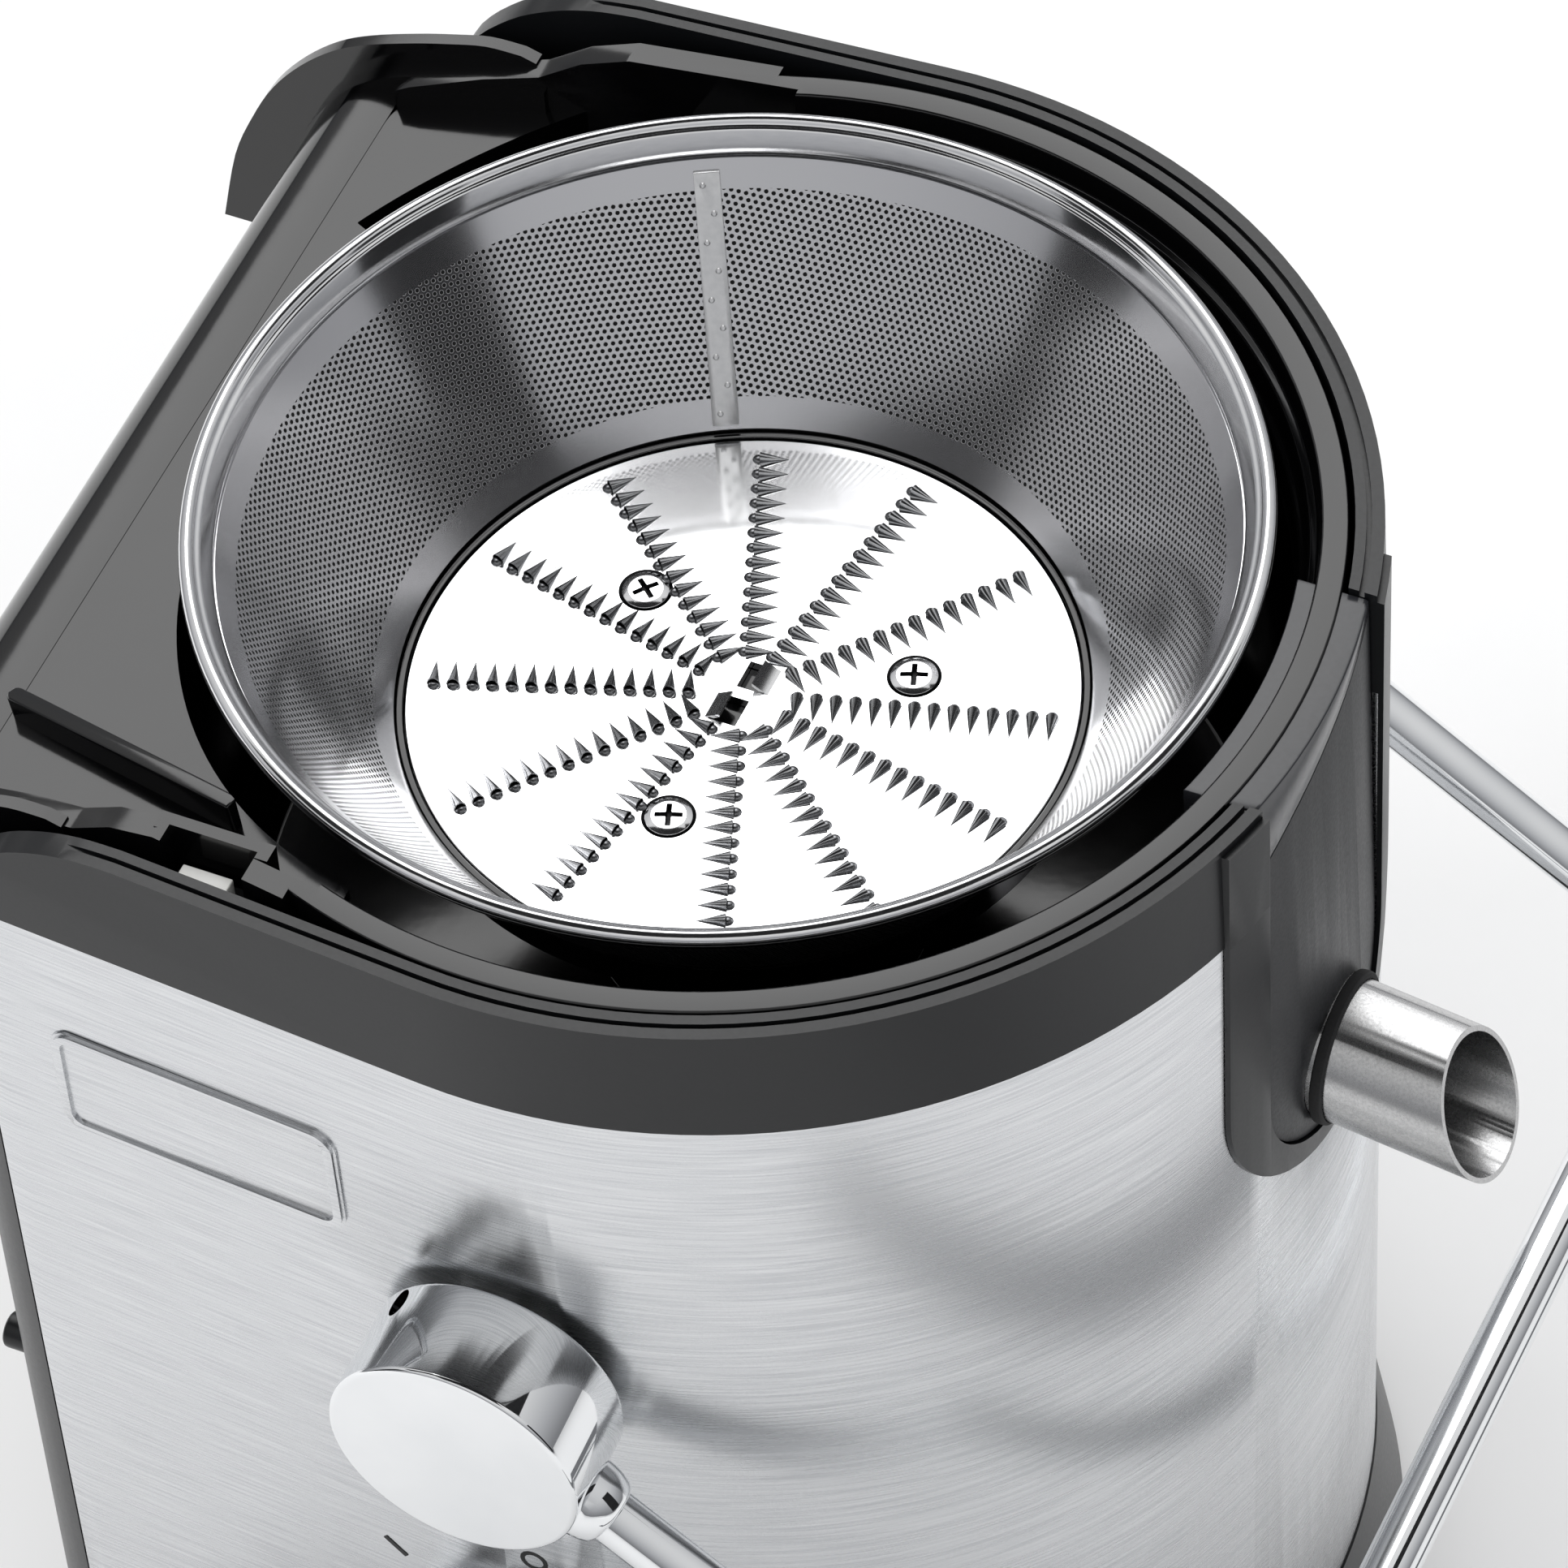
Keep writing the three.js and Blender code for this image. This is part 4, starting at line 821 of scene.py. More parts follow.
# %% Turned bowl
top = RIM_Z - 3.5
ridge_in = RIDGE_R - RIDGE_W
bowl_section = eased([
    (22, BOWL_FLOOR), (BOWL_R - 3, BOWL_FLOOR), (BOWL_R, BOWL_FLOOR + 4), (BOWL_R, top - 34),
    (RIDGE_R - 2.4, top - 24), (RIDGE_R - 2.4, top - 9), (RIDGE_R, top - 7), (RIDGE_R, top),
    (ridge_in, top), (ridge_in - 0.6, top - 4), (ridge_in - 2, top - 4.6),
    (ridge_in - 2.5, top - 9), (ridge_in - 3.6, top - 9.6), (ridge_in - 4, top - 15),
    (ridge_in - 4.4, top - 15.4), (BOWL_R - 2.4, top - 40), (BOWL_R - 2.4, BOWL_FLOOR + 8.5),
    (BOWL_R - 8.4, BOWL_FLOOR + 2.5), (26, BOWL_FLOOR + 2.5), (24, BOWL_FLOOR + 4.5),
    (24, DISC_Z - 16), (22, DISC_Z - 16),
], 0.45)
collector = turned("juice_collector_moulding", bowl_section, steps=180)
print("bowl faces", len(collector.data.polygons))

# %% Sloping deck with its side walls
DECK_SLOPE = 0.22
LIP_X, LIP_R = 107, 16
DECK_LEFT = LIP_X - LIP_R
DECK_TAPER = 8.4


def ramp(x):
    return RIM_Z - 11 + DECK_SLOPE * (x + 36)


def deck_plan(inset, left=DECK_LEFT):
    return plan(RIDGE_R - inset, left - inset * 0.2, max(8 - inset, 1), DECK_TAPER)


deck = cut(flat_slab("deck", deck_plan(0), RIM_Z - 29, top),
           flat_slab("inside", deck_plan(RIDGE_W, 140), RIM_Z - 30, RIM_Z),
           block("right_part", (-30, -120, 200), (120, 120, 300)))
floor_sheet = side_slab("deck_floor", [
    (-24, ramp(-24)), (-DECK_LEFT - 0.2, ramp(-DECK_LEFT)),
    (-DECK_LEFT - 0.2, ramp(-DECK_LEFT) - 2.2), (-24, ramp(-24) - 2.2)], -90, 90)
join(deck, keep(floor_sheet, flat_slab("limit", deck_plan(0.6), 200, 260)))
join(collector, deck)

# %% Recesses and openings


def recess(grow, low, high):
    first, last = 118 - grow, 150 + grow
    outer = arc(0, 0, 98.5 + grow * 1.4, first, last, 24)
    inner = arc(0, 0, 79, last, first, 24)
    return flat_slab("recess", eased([*outer, *inner], 0.2, 1), low, high)


pit = RIM_Z - 34
join(collector, keep(recess(1.3, pit - 2, RIM_Z - 18),
                     flat_slab("limit", deck_plan(0.8), 200, 260)))
air = side_slab("air", [
    (-26, ramp(-26)), (-26, 300), (-150, 300), (-150, ramp(-DECK_LEFT)),
    (-DECK_LEFT, ramp(-DECK_LEFT))], -100, 100)
cut(collector, keep(air, flat_slab("limit", deck_plan(RIDGE_W, 140), 200, 300)))
cut(collector, keep(recess(0, pit, 300), flat_slab("limit", deck_plan(RIDGE_W), 200, 300)))
cut(collector, turned("opening", [(0, 200), (BOWL_R - 2.6, 200), (BOWL_R - 2.6, 300),
                                  (0, 300)], steps=180))
fall = [(-52, RIM_Z - 3.4), (-60, RIM_Z - 6), (-67, RIM_Z - 10.5), (-76, RIM_Z - 13),
        (-88, RIM_Z - 17.6), (-96, RIM_Z - 22), (-96, 300), (-52, 300)]
cut(collector, side_slab("fall", fall, -100, 100))

# %% Lip and cheeks


def smooth_line(points, steps=4):
    """A curve through the points, for edges that sweep."""
    made = []
    for i in range(len(points) - 1):
        p0 = Vector(points[max(i - 1, 0)])
        p1, p2 = Vector(points[i]), Vector(points[i + 1])
        p3 = Vector(points[min(i + 2, len(points) - 1)])
        for k in range(steps):
            t = k / steps
            made.append(tuple(0.5 * (2 * p1 + (p2 - p0) * t
                                     + (2 * p0 - 5 * p1 + 4 * p2 - p3) * t * t
                                     + (3 * p1 - p0 - 3 * p2 + p3) * t ** 3)))
    return [*made, tuple(points[-1])]


lip_z = ramp(-DECK_LEFT) - LIP_R
lip_low = lip_z - 8
lip = side_slab("lip", [
    *arc(-DECK_LEFT, lip_z, LIP_R, 90, 180, 20), (-LIP_X, lip_low), (-LIP_X + 2.2, lip_low),
    *arc(-DECK_LEFT, lip_z, LIP_R - 2.2, 180, 90, 20)], -77, 77)
join(collector, lip)
WING_X = 127.4
cheek_top = RIM_Z
cheek_edge = smooth_line([
    (-71, -9.6), (-77, -9.8), (-83.5, -11.7), (-90, -14), (-98, -17.4), (-104, -21),
    (-110, -26.5), (-115.5, -33.5), (-120, -42), (-124, -52), (-WING_X, -67)])
ledge_edge = smooth_line([
    (-76, -13), (-87.6, -17.4), (-94, -20.4), (-100, -24.8), (-105.7, -32.2), (-110, -40),
    (-113.6, -49), (-116, -60), (-116, -67)])
step = [(-66, -18), (-68.5, -10.4)]
back_edge = [(-BODY_LEFT - 3, -67), (-BODY_LEFT - 3, -27.6), (-66, -27.6)]
for edge, low, high in ((step + cheek_edge + back_edge, 79.6, 81.8),
                        ([(-66, -13)] + ledge_edge + back_edge, 76.6, 80)):
    raised = [(x, cheek_top + z) for x, z in edge]
    join(collector, side_slab("cheek_back", raised, low, high))
    join(collector, side_slab("cheek_front", raised, -high, -low))
print("collector faces", len(collector.data.polygons))

# %% Rib, latch pocket and spout hole
rib_end = arc(-22.6, 0, 1.4, 90, 270, 8)
rib = flat_slab("rib", [*rib_end, (24, -1.4), (24, 1.4)], -3, 4.6)
ease(rib, 0.5, 3)
moved(rib, Matrix.Translation((-68, -63, ramp(-68))) @ Matrix.Rotation(math.radians(-18), 4, "Z")
      @ Matrix.Rotation(math.radians(-12.4), 4, "Y"))
bore = turned("bore", [(0, 100), (BOWL_R - 1, 100), (BOWL_R - 1, 300), (0, 300)], steps=180)
join(collector, cut(rib, bore))
plunger_low, plunger_high = limits("interlock_plunger")
latch_x = (plunger_low.x + plunger_high.x) / 2
latch_half = 7
join(collector, block("pocket_wall", (latch_x - latch_half - 2, -81.5, RIM_Z - 20),
                      (latch_x + latch_half + 2, -78.4, RIM_Z - 3.5)))
cut(collector, block("pocket", (latch_x - latch_half, -100, 200),
                     (latch_x + latch_half, -80.4, 300)))


def spout_rod(name, radius, start, end, steps=96):
    """A rod along the spout's falling axis, from one x to another."""
    length = (end - start) / math.cos(math.radians(SPOUT_TILT))
    rod = turned(name, [(0, 0), (radius, 0), (radius, length), (0, length)], steps)
    height = SPOUT_Z - (start - (BODY_R - 2)) * math.tan(math.radians(SPOUT_TILT))
    moved(rod, Matrix.Rotation(math.radians(90 + SPOUT_TILT), 4, "Y"))
    return moved(rod, Matrix.Translation((start, 0, height)))


cut(collector, spout_rod("spout_hole", SPOUT_R + 0.15, 60, 140))
ease(collector, 0.35, 2)
fit(collector, "collector", ["juice_collector"], gloss_black, smooth=30)

# %% [markdown]
# ## Spout panel
#
# Where the spout leaves the body, the collector carries a panel that fills the slot in
# the steel. Its lower part is spark textured and its upper part is smooth, with a
# curved seam between them, so it is made as two pieces from one curved wall.

# %% Spout panel
PANEL_TOP = RIM_Z - 4


def pod_wall(name, low, high, outer):
    wall = turned(name, eased([(BOWL_R - 1.2, low), (outer, low), (outer, high),
                               (BOWL_R - 1.2, high)], 0.5), steps=180)
    return keep(wall, u_block("slot", SLOT_HALF - 0.3, SLOT_BOTTOM + 0.3, 260))


def seam_block(name, shift, top_side):
    """Everything above or below the curved seam."""
    seam = smooth_line([(-26, RIM_Z - 22), (-21.5, RIM_Z - 19.4), (-12, RIM_Z - 14.6),
                        (0, RIM_Z - 10.2), (12, RIM_Z - 7.4), (21.5, RIM_Z - 6),
                        (26, RIM_Z - 5.6)])
    line = [(y, z + shift) for y, z in seam]
    rest = RIM_Z + 10 if top_side else 120
    return end_slab(name, [*line, (26, rest), (-26, rest)], 60, 130)


lower_pod = pod_wall("textured_spout_panel", 150, PANEL_TOP, BODY_R - 1.2)
keep(lower_pod, seam_block("below_seam", -0.18, False))
upper_pod = pod_wall("smooth_spout_band", 150, PANEL_TOP, BODY_R - 1.2)
keep(upper_pod, seam_block("above_seam", 0.18, True))
cut(lower_pod, spout_rod("spout_hole", SPOUT_R + 0.15, 60, 140))
for pod, finish in ((lower_pod, grained_grey), (upper_pod, smooth_grey)):
    ease(pod, 0.3, 2)
    fit(pod, "collector", [], finish)

# %% Spout tube and its ring
SPOUT_REACH, SPOUT_CUT = 117, 20
pipe = spout_rod("spout_tube_drawn", SPOUT_R, BOWL_R - 3, SPOUT_REACH + 12)
cut(pipe, spout_rod("pipe_bore", SPOUT_R - 0.8, BOWL_R - 8, SPOUT_REACH + 18))
mouth_z = SPOUT_Z - (SPOUT_REACH - BODY_R + 2) * math.tan(math.radians(SPOUT_TILT))
mouth = moved(block("mouth", (0, -30, -60), (40, 30, 60)),
              Matrix.Translation((SPOUT_REACH, 0, mouth_z))
              @ Matrix.Rotation(math.radians(-SPOUT_CUT), 4, "Y"))
cut(pipe, mouth)
ease(pipe, 0.12, 2)
fit(pipe, "collector", ["spout_tube"], drawn_steel)
ring_x = BODY_R - 1
flange = turned("spout_gasket", eased([(SPOUT_R - 1, 0), (SPOUT_R + 1, 0), (SPOUT_R + 1, 2),
                                       (SPOUT_R - 1, 2)], 0.6), steps=96)
moved(flange, Matrix.Rotation(math.radians(90), 4, "Y"))
ring_z = SPOUT_Z - (ring_x - BODY_R + 2) * math.tan(math.radians(SPOUT_TILT))
moved(flange, Matrix.Translation((ring_x, 0, ring_z)))
cut(flange, spout_rod("ring_bore", SPOUT_R + 0.15, 60, 140))
fit(flange, "collector", ["spout_ring"], rubber)

# %% [markdown]
# ## The black band
#
# A satin black band crowns the steel. It has a rebate along its top inner edge, its
# ends fall away in a curve where the pulp chute begins, and a wide trim in the shape
# of a U runs down both sides of the spout panel.

# %% Top collar
HOUSING_TOP = COLLAR_BOTTOM - 2.7
wall = BODY_R - COLLAR_IN_R


def band(amount, thickness, low, high):
    return cut(flat_slab("band", grown(amount), low, high),
               flat_slab("core", grown(amount - thickness), low - 1, high + 1))


collar = band(0, wall, COLLAR_BOTTOM + 0.2, COLLAR_TOP)
collar.name = "satin_top_band"
cut(collar, cut(flat_slab("rebate", grown(-1.9), COLLAR_TOP - 1.1, COLLAR_TOP + 1),
                flat_slab("core", grown(-2.7), COLLAR_TOP - 2, COLLAR_TOP + 2)))
join(collar, band(-1.6, wall - 1.6, HOUSING_TOP + 0.2, COLLAR_BOTTOM + 0.3))
end_fall = smooth_line([
    (-55, COLLAR_TOP), (-62, COLLAR_TOP - 0.8), (-69, COLLAR_TOP - 3), (-76, COLLAR_TOP - 7),
    (-83, COLLAR_TOP - 14), (-86.5, COLLAR_TOP - 22)])
cut(collar, side_slab("fall", [*end_fall, (-87, COLLAR_BOTTOM - 5.5),
                               (-140, COLLAR_BOTTOM - 5.5), (-140, 280), (-55, 280)],
                      -130, 130))
hug = shell("hug", 1, 0.85, SLOT_BOTTOM - 6, COLLAR_BOTTOM + 1)
join(hug, shell("hug_top", 1, 3, COLLAR_BOTTOM + 0.2, COLLAR_TOP - 1.4))
join(collar, keep(hug, u_block("trim", SLOT_HALF + 9, SLOT_BOTTOM - 3.3, 260)))
cut(collar, u_block("slot", SLOT_HALF, SLOT_BOTTOM, 280))
guide = block("guide", (latch_x - 6, -88.5, COLLAR_BOTTOM - 9),
              (latch_x + 6, -81.4, COLLAR_TOP - 9))
join(collar, guide)
cut(collar, block("guide_bore", (latch_x - 4.3, -87.3, 200), (latch_x + 4.3, -82.7, 260)))
ease(collar, 0.4, 3)
fit(collar, "base", ["top_collar"], satin_black, smooth=30)

# %% Interlock plunger
plunger = block("latch_plunger", plunger_low + Vector((1, 0.5, 2.7)),
                plunger_high - Vector((1, 0.5, 0)))
join(plunger, block("plunger_foot", plunger_low,
                    Vector((plunger_high.x, plunger_high.y, plunger_low.z + 2.7))))
ease(plunger, 0.7, 3)
fit(plunger, "plunger", ["interlock_plunger"], white_plastic)

# %% [markdown]
# ## Steel wrap
#
# The body is wrapped in one sheet of brushed stainless, open at the left where a black
# strip closes it, and cut in a U for the spout. The sheet is under a millimetre thick,
# so a drafted block is hollowed to a thin wall, then slotted.

# %% Steel wrap
STEEL_T = 0.9
steel = shell("brushed_steel_wrap", 0, STEEL_T, SKIRT_TOP + 0.3, COLLAR_BOTTOM)
cut(steel, block("left_end", (-120, -120, 0), (-84, 120, 260)),
    u_block("slot", SLOT_HALF + 1, SLOT_BOTTOM - 1, 260),
    cross_rod("pivot_holes", 10.2, BAIL_X, BAIL_Z, -120, 120),
    cross_rod("knob_hole", 5.6, BAIL_X, KNOB_Z, -120, 0))
ease(steel, 0.2, 2)
fit(steel, "base", ["body_wrap"], brushed_steel)

# %% Blank badge: a plate with a raised border
BADGE = (-47, RIM_Z - 59, 24, 11.6)


def badge_outline(inset, corner=4):
    x, z, w, h = BADGE
    w, h = w - inset, h - inset
    r = max(corner - inset, 0.6)
    return [*arc(x + w - r, z + h - r, r, 0, 90, 8), *arc(x - w + r, z + h - r, r, 90, 180, 8),
            *arc(x - w + r, z - h + r, r, 180, 270, 8), *arc(x + w - r, z - h + r, r, 270, 360, 8)]


def on_front(name, outline, proud, low, high, sunk=0.05):
    """A shape laid on the front of the steel, following its curve."""
    return keep(shell(name, proud, proud + sunk, low, high),
                side_slab("window", outline, -120, -40))


badge = on_front("blank_badge_plate", badge_outline(0), 0.35, RIM_Z - 75, RIM_Z - 42)
frame_ring = on_front("badge_border", badge_outline(0.5), 0.85, RIM_Z - 75, RIM_Z - 42)
cut(frame_ring, side_slab("badge_window", badge_outline(1.9), -120, -40))
join(badge, frame_ring)
ease(badge, 0.16, 2)
fit(badge, "base", ["blank_badge"], brushed_steel)

# %% Printed marks round the knob: a ring for off and a bar for on
MARK_R = 33.4
off_mark = on_front("off_ring_mark", arc(BAIL_X, KNOB_Z + MARK_R, 2.3, 0, 337.5, 15), 0.06,
                    90, 130)
cut(off_mark, side_slab("ring_hole", arc(BAIL_X, KNOB_Z + MARK_R, 1.55, 0, 337.5, 15),
                        -120, -40))
fit(off_mark, "base", [], printed_black)
bar = [(-0.45, -2.3), (0.45, -2.3), (0.45, 2.3), (-0.45, 2.3)]
swing = math.radians(48)
bar_points = [(BAIL_X + x * math.cos(swing) - (z + MARK_R) * math.sin(swing),
               KNOB_Z + x * math.sin(swing) + (z + MARK_R) * math.cos(swing)) for x, z in bar]
on_mark = on_front("on_bar_mark", bar_points, 0.06, 80, 120)
fit(on_mark, "base", [], printed_black)

# %% [markdown]
# ## Left strip, skirt and base
#
# A black moulded strip closes the left end of the steel and carries cooling slots.
# The skirt flares a little towards the table. Both are simple mouldings, so their
# outlines are pushed up, hollowed and slotted, and their edges are eased.

# %% Side strip with cooling slots
strip_top = COLLAR_BOTTOM - 3.5
side_strip = shell("vented_side_strip", 0, 2.2, SKIRT_TOP + 0.3, strip_top)
keep(side_strip, block("left_only", (-120, -120, 0), (-84.3, 120, 260)))
for i in range(6):
    slot = side_slab("vent", [(-120, 48 + 7 * i), (-84, 48 + 7 * i), (-84, 51 + 7 * i),
                              (-120, 51 + 7 * i)], -30, 30)
    cut(side_strip, slot)
for side in (1, -1):
    stud = turned("stud", eased([(0, 0), (3, 0), (3, 6), (0, 6)], 0.8)[4:-4]
                  + [(0, 6), (0, 0)], steps=48)
    moved(stud, Matrix.Rotation(math.radians(-90), 4, "Y"))
    join(side_strip, moved(stud, Matrix.Translation((-BODY_LEFT + 2.6, side * 74, 95))))
ease(side_strip, 0.35, 2)
fit(side_strip, "base", ["side_panel"], satin_black, level=True)

# %% Skirt
SCREWS = [(50, 66), (50, -66), (-56, 74), (-56, -74)]
GLAND_X, GLAND_Z = -30, 17


def flare(name, inset, low, high):
    """The skirt's flared block: wider at the table than at the steel."""
    wide = plan(BODY_R - inset, BODY_LEFT + 2 - inset, BODY_CORNER + 2 - inset)
    piece = flat_slab(name, wide, low, high)
    narrow = (BODY_R_FOOT + 0.3 - inset) / (BODY_R - inset)
    for vertex in piece.data.vertices:
        if vertex.co.z > (low + high) / 2:
            vertex.co.y *= narrow
            if vertex.co.x > 0:
                vertex.co.x *= narrow
            else:
                vertex.co.x *= (BODY_LEFT - inset) / (BODY_LEFT + 2 - inset)
    return piece


skirt = cut(flare("flared_base_skirt", 0, 2, SKIRT_TOP), flare("core", 2.6, 1, SKIRT_TOP + 1))
for x, y in SCREWS:
    reach = 88 if y > 0 else -88
    web = block("web", (x - 1, min(y, reach), 12), (x + 1, max(y, reach), 20))
    post = moved(turned("post", [(0, 8.2), (4.5, 8.2), (4.5, 22), (0, 22)], 40),
                 Matrix.Translation((x, y, 0)))
    join(skirt, join(post, keep(web, flare("limit", 1, 2, SKIRT_TOP))))
    cut(skirt, moved(turned("pilot", [(0, 7), (1.9, 7), (1.9, 19), (0, 19)], 24),
                     Matrix.Translation((x, y, 0))))
cut(skirt, cross_rod("gland_hole", 6.3, GLAND_X, GLAND_Z, 70, 100))
ease(skirt, 0.5, 3)
fit(skirt, "base", ["base_skirt"], satin_black, level=True)

# %% Feet and cord gland
for i, (x, y) in enumerate([(70, 45), (70, -45), (-76, 58), (-76, -58)]):
    foot = turned(f"rubber_foot_{i + 1}", eased([
        (0, 0), (6.2, 0), (6.6, 0.5), (7.2, 0.5), (7.6, 0), (9, 0), (9, 3.8), (0, 3.8)],
        0.4)[4:-4] + [(0, 3.8), (0, 0)], steps=64)
    moved(foot, Matrix.Translation((x, y, 0)))
    fit(foot, "base", [f"foot_{i + 1}"], rubber)
gland = turned("cord_inlet_gland", eased([
    (3.4, 83), (6, 83), (6, 93.3), (8.4, 93.3), (8.4, 95.5), (4.6, 95.5), (3.4, 94)], 0.5),
    steps=64)
moved(gland, Matrix.Rotation(math.radians(-90), 4, "X"))
moved(gland, Matrix.Translation((GLAND_X, 0, GLAND_Z)))
fit(gland, "base", ["cord_gland"], rubber)

# %% [markdown]
# ## Bail
#
# The locking bail is one chromed rod bent twice, with a heavy chromed boss at each end
# that turns on the body. A circle is pulled along the first arm, spun round each bend
# and pulled again, so its walls stay smooth, and the whole bail is drawn level and then
# tipped to the angle at which it hangs.

# %% Bail rod
ARM, BEND, ROD_R, BOSS_R, BOSS_T = 138, 16, 4.3, 20, 17.3
droop = (Matrix.Translation((BAIL_X, 0, BAIL_Z))
         @ Matrix.Rotation(math.radians(BAIL_DROOP), 4, "Y"))
clear_selection()
bpy.ops.mesh.primitive_circle_add(vertices=40, radius=ROD_R,
                                  rotation=(0, math.radians(90), 0))
bail = bpy.context.object
bail.name = "chromed_bail_rod"
bpy.ops.object.transform_apply(location=False, rotation=True, scale=False)
bpy.ops.object.mode_set(mode="EDIT")
bpy.ops.mesh.select_all(action="SELECT")
bpy.ops.transform.translate(value=(BOSS_R - 7, -BAIL_HALF, 0))


def pull(value):
    bpy.ops.mesh.extrude_region_move(TRANSFORM_OT_translate={"value": value})


def bend(centre, degrees=-90):
    """Spins the selected end round a bend."""
    bpy.ops.mesh.spin(steps=16, angle=math.radians(degrees), center=centre, axis=(0, 0, 1))


pull((ARM - BEND - BOSS_R + 7, 0, 0))
bend((ARM - BEND, -BAIL_HALF + BEND, 0))
pull((0, 2 * (BAIL_HALF - BEND), 0))
bend((ARM - BEND, BAIL_HALF - BEND, 0))
pull((-(ARM - BEND - BOSS_R + 7), 0, 0))
bpy.ops.mesh.select_all(action="SELECT")
bpy.ops.mesh.remove_doubles(threshold=0.0005)
bpy.ops.mesh.select_mode(type="EDGE")
bpy.ops.mesh.select_all(action="DESELECT")
bpy.ops.mesh.select_non_manifold()
bpy.ops.mesh.edge_face_add()
close_up()
corners = [bail.data.vertices[i].co.copy() for i in (0, len(bail.data.vertices) - 1)]
print("bail ends at", [tuple(round(c, 1) for c in p) for p in corners])
fit(moved(bail, droop), "bail", ["bail_rod"], chrome)

# %% Bosses with the fairing where the rod enters
BOSS_BACK = BODY_R - 0.2
for name, side in (("front", -1), ("back", 1)):
    profile = eased([(0, 0), (BOSS_R, 0), (BOSS_R, BOSS_T), (0, BOSS_T)], 0.9, 5)
    body = turned(f"chromed_boss_{name}", [(0, 0), *profile[6:-6], (0, BOSS_T)], steps=160)
    moved(body, Matrix.Rotation(math.radians(-90), 4, "X"))
    if side < 0:
        moved(body, Matrix.Rotation(math.radians(180), 4, "X"))
    moved(body, Matrix.Translation((0, side * BOSS_BACK, 0)))
    fairing = turned("fairing", eased([(0, 10), (6.6, 10), (6.2, 22), (5.3, 25), (0, 25)],
                                      1.2, 4)[5:-5] + [(0, 25), (0, 10)], steps=64)
    moved(fairing, Matrix.Rotation(math.radians(90), 4, "Y"))
    join(body, moved(fairing, Matrix.Translation((0, side * BAIL_HALF, 0))))
    pin_end = BOWL_R + 1.6
    low, high = sorted((side * pin_end, side * (BOSS_BACK + 1)))
    join(body, cross_rod("pin", 6, 0, 0, low, high))
    notch = turned("notch", [(0, BOSS_R - 4), (1.7, BOSS_R - 4), (1.7, 30), (0, 30)], 24)
    moved(notch, Matrix.Diagonal((1, 1.5, 1, 1)))
    moved(notch, Matrix.Translation((0, side * (BOSS_BACK + 3.4), 0)) @ turn("Y", -80))
    cut(body, notch)
    socket = turned("socket", [(0, 12.8), (4.4, 12.8), (4.4, 40), (0, 40)], 40)
    moved(socket, Matrix.Rotation(math.radians(90), 4, "Y"))
    cut(body, moved(socket, Matrix.Translation((0, side * BAIL_HALF, 0))))
    ease(body, 0.25, 2)
    fit(moved(body, droop), "bail", [f"bail_boss_{name}"], chrome)

# %% Knob with its pointer
knob_r = 25
knob_back = body_radius(KNOB_Z) + 1.6
knob = turned("chromed_switch_knob", [(0, 0), *eased([
    (0, 0), (knob_r - 0.6, 0), (knob_r, 1.4), (knob_r, 11.6), (knob_r - 1.4, 14),
    (knob_r - 5, 14), (knob_r - 6, 13.4), (0, 13.4)], 0.7, 4)[5:-5], (0, 13.4)], steps=160)
moved(knob, Matrix.Rotation(math.radians(90), 4, "X"))
moved(knob, Matrix.Translation((BAIL_X, -knob_back, KNOB_Z)))
pointer = block("pointer", (BAIL_X - 1, -knob_back - 14.5, KNOB_Z + 8),
                (BAIL_X + 1, -knob_back - 12, KNOB_Z + knob_r - 3))
join(knob, ease(pointer, 0.3, 2))
cut(knob, cross_rod("spindle_hole", 3.1, BAIL_X, KNOB_Z, -knob_back - 8, -knob_back + 1))
ease(knob, 0.15, 2, 40)
fit(knob, "knob", ["switch_knob"], chrome)

# %% [markdown]
# ## Parts that show when the juicer is opened
#
# The remaining nodes already have the right shape. A copy of each is merged, its
# edges are eased so that they catch light, and it stands for its node. Small sealed
# parts keep their own node and only get their finish.

# %% Inner parts
SLOTS = {
    "satin_black_plastic": satin_black, "black_rubber": rubber, "zinc_steel": zinc,
    "copper_wire": copper_wire, "iron_laminations": laminations, "carbon": carbon,
    "brass": brass, "polished_steel": polished_steel, "white_plastic": white_plastic,
    "gloss_black_plastic": gloss_black, "brushed_steel": brushed_steel, "chrome": chrome,
}
slot_of = {row["node"]: row["material_slot"] for row in frame["record"]["subparts"]}
body_of = {node: body for body, nodes in frame["record"]["behaviour"]["bodies"].items()
           for node in nodes}
EASED = {"inner_housing": 0.3, "drive_coupling": 0.3, "base_tray": 0.4, "shaft_seal": 0.2,
         "motor_shaft": 0.1, "cooling_fan": 0.15, "switch_body": 0.4,
         "base_screw_1": 0.15, "base_screw_2": 0.15, "base_screw_3": 0.15,
         "base_screw_4": 0.15}
for node, width in EASED.items():
    inner = copy_of(frame["nodes"][node], f"{node}_eased")
    inner.parent = None
    for key in list(inner.keys()):
        del inner[key]
    moved(inner, Matrix.Scale(1 / MM, 4) @ Matrix.Translation((-SPINDLE_X, 0, 0)))
    clear_selection()
    bpy.context.view_layer.objects.active = inner
    inner.select_set(True)
    bpy.ops.object.mode_set(mode="EDIT")
    bpy.ops.mesh.select_all(action="SELECT")
    bpy.ops.mesh.remove_doubles(threshold=0.001)
    bpy.ops.mesh.dissolve_limited(angle_limit=math.radians(0.5))
    bpy.ops.object.mode_set(mode="OBJECT")
    ease(inner, width, 2, 40)
    fit(inner, body_of[node], [node], SLOTS[slot_of[node]])

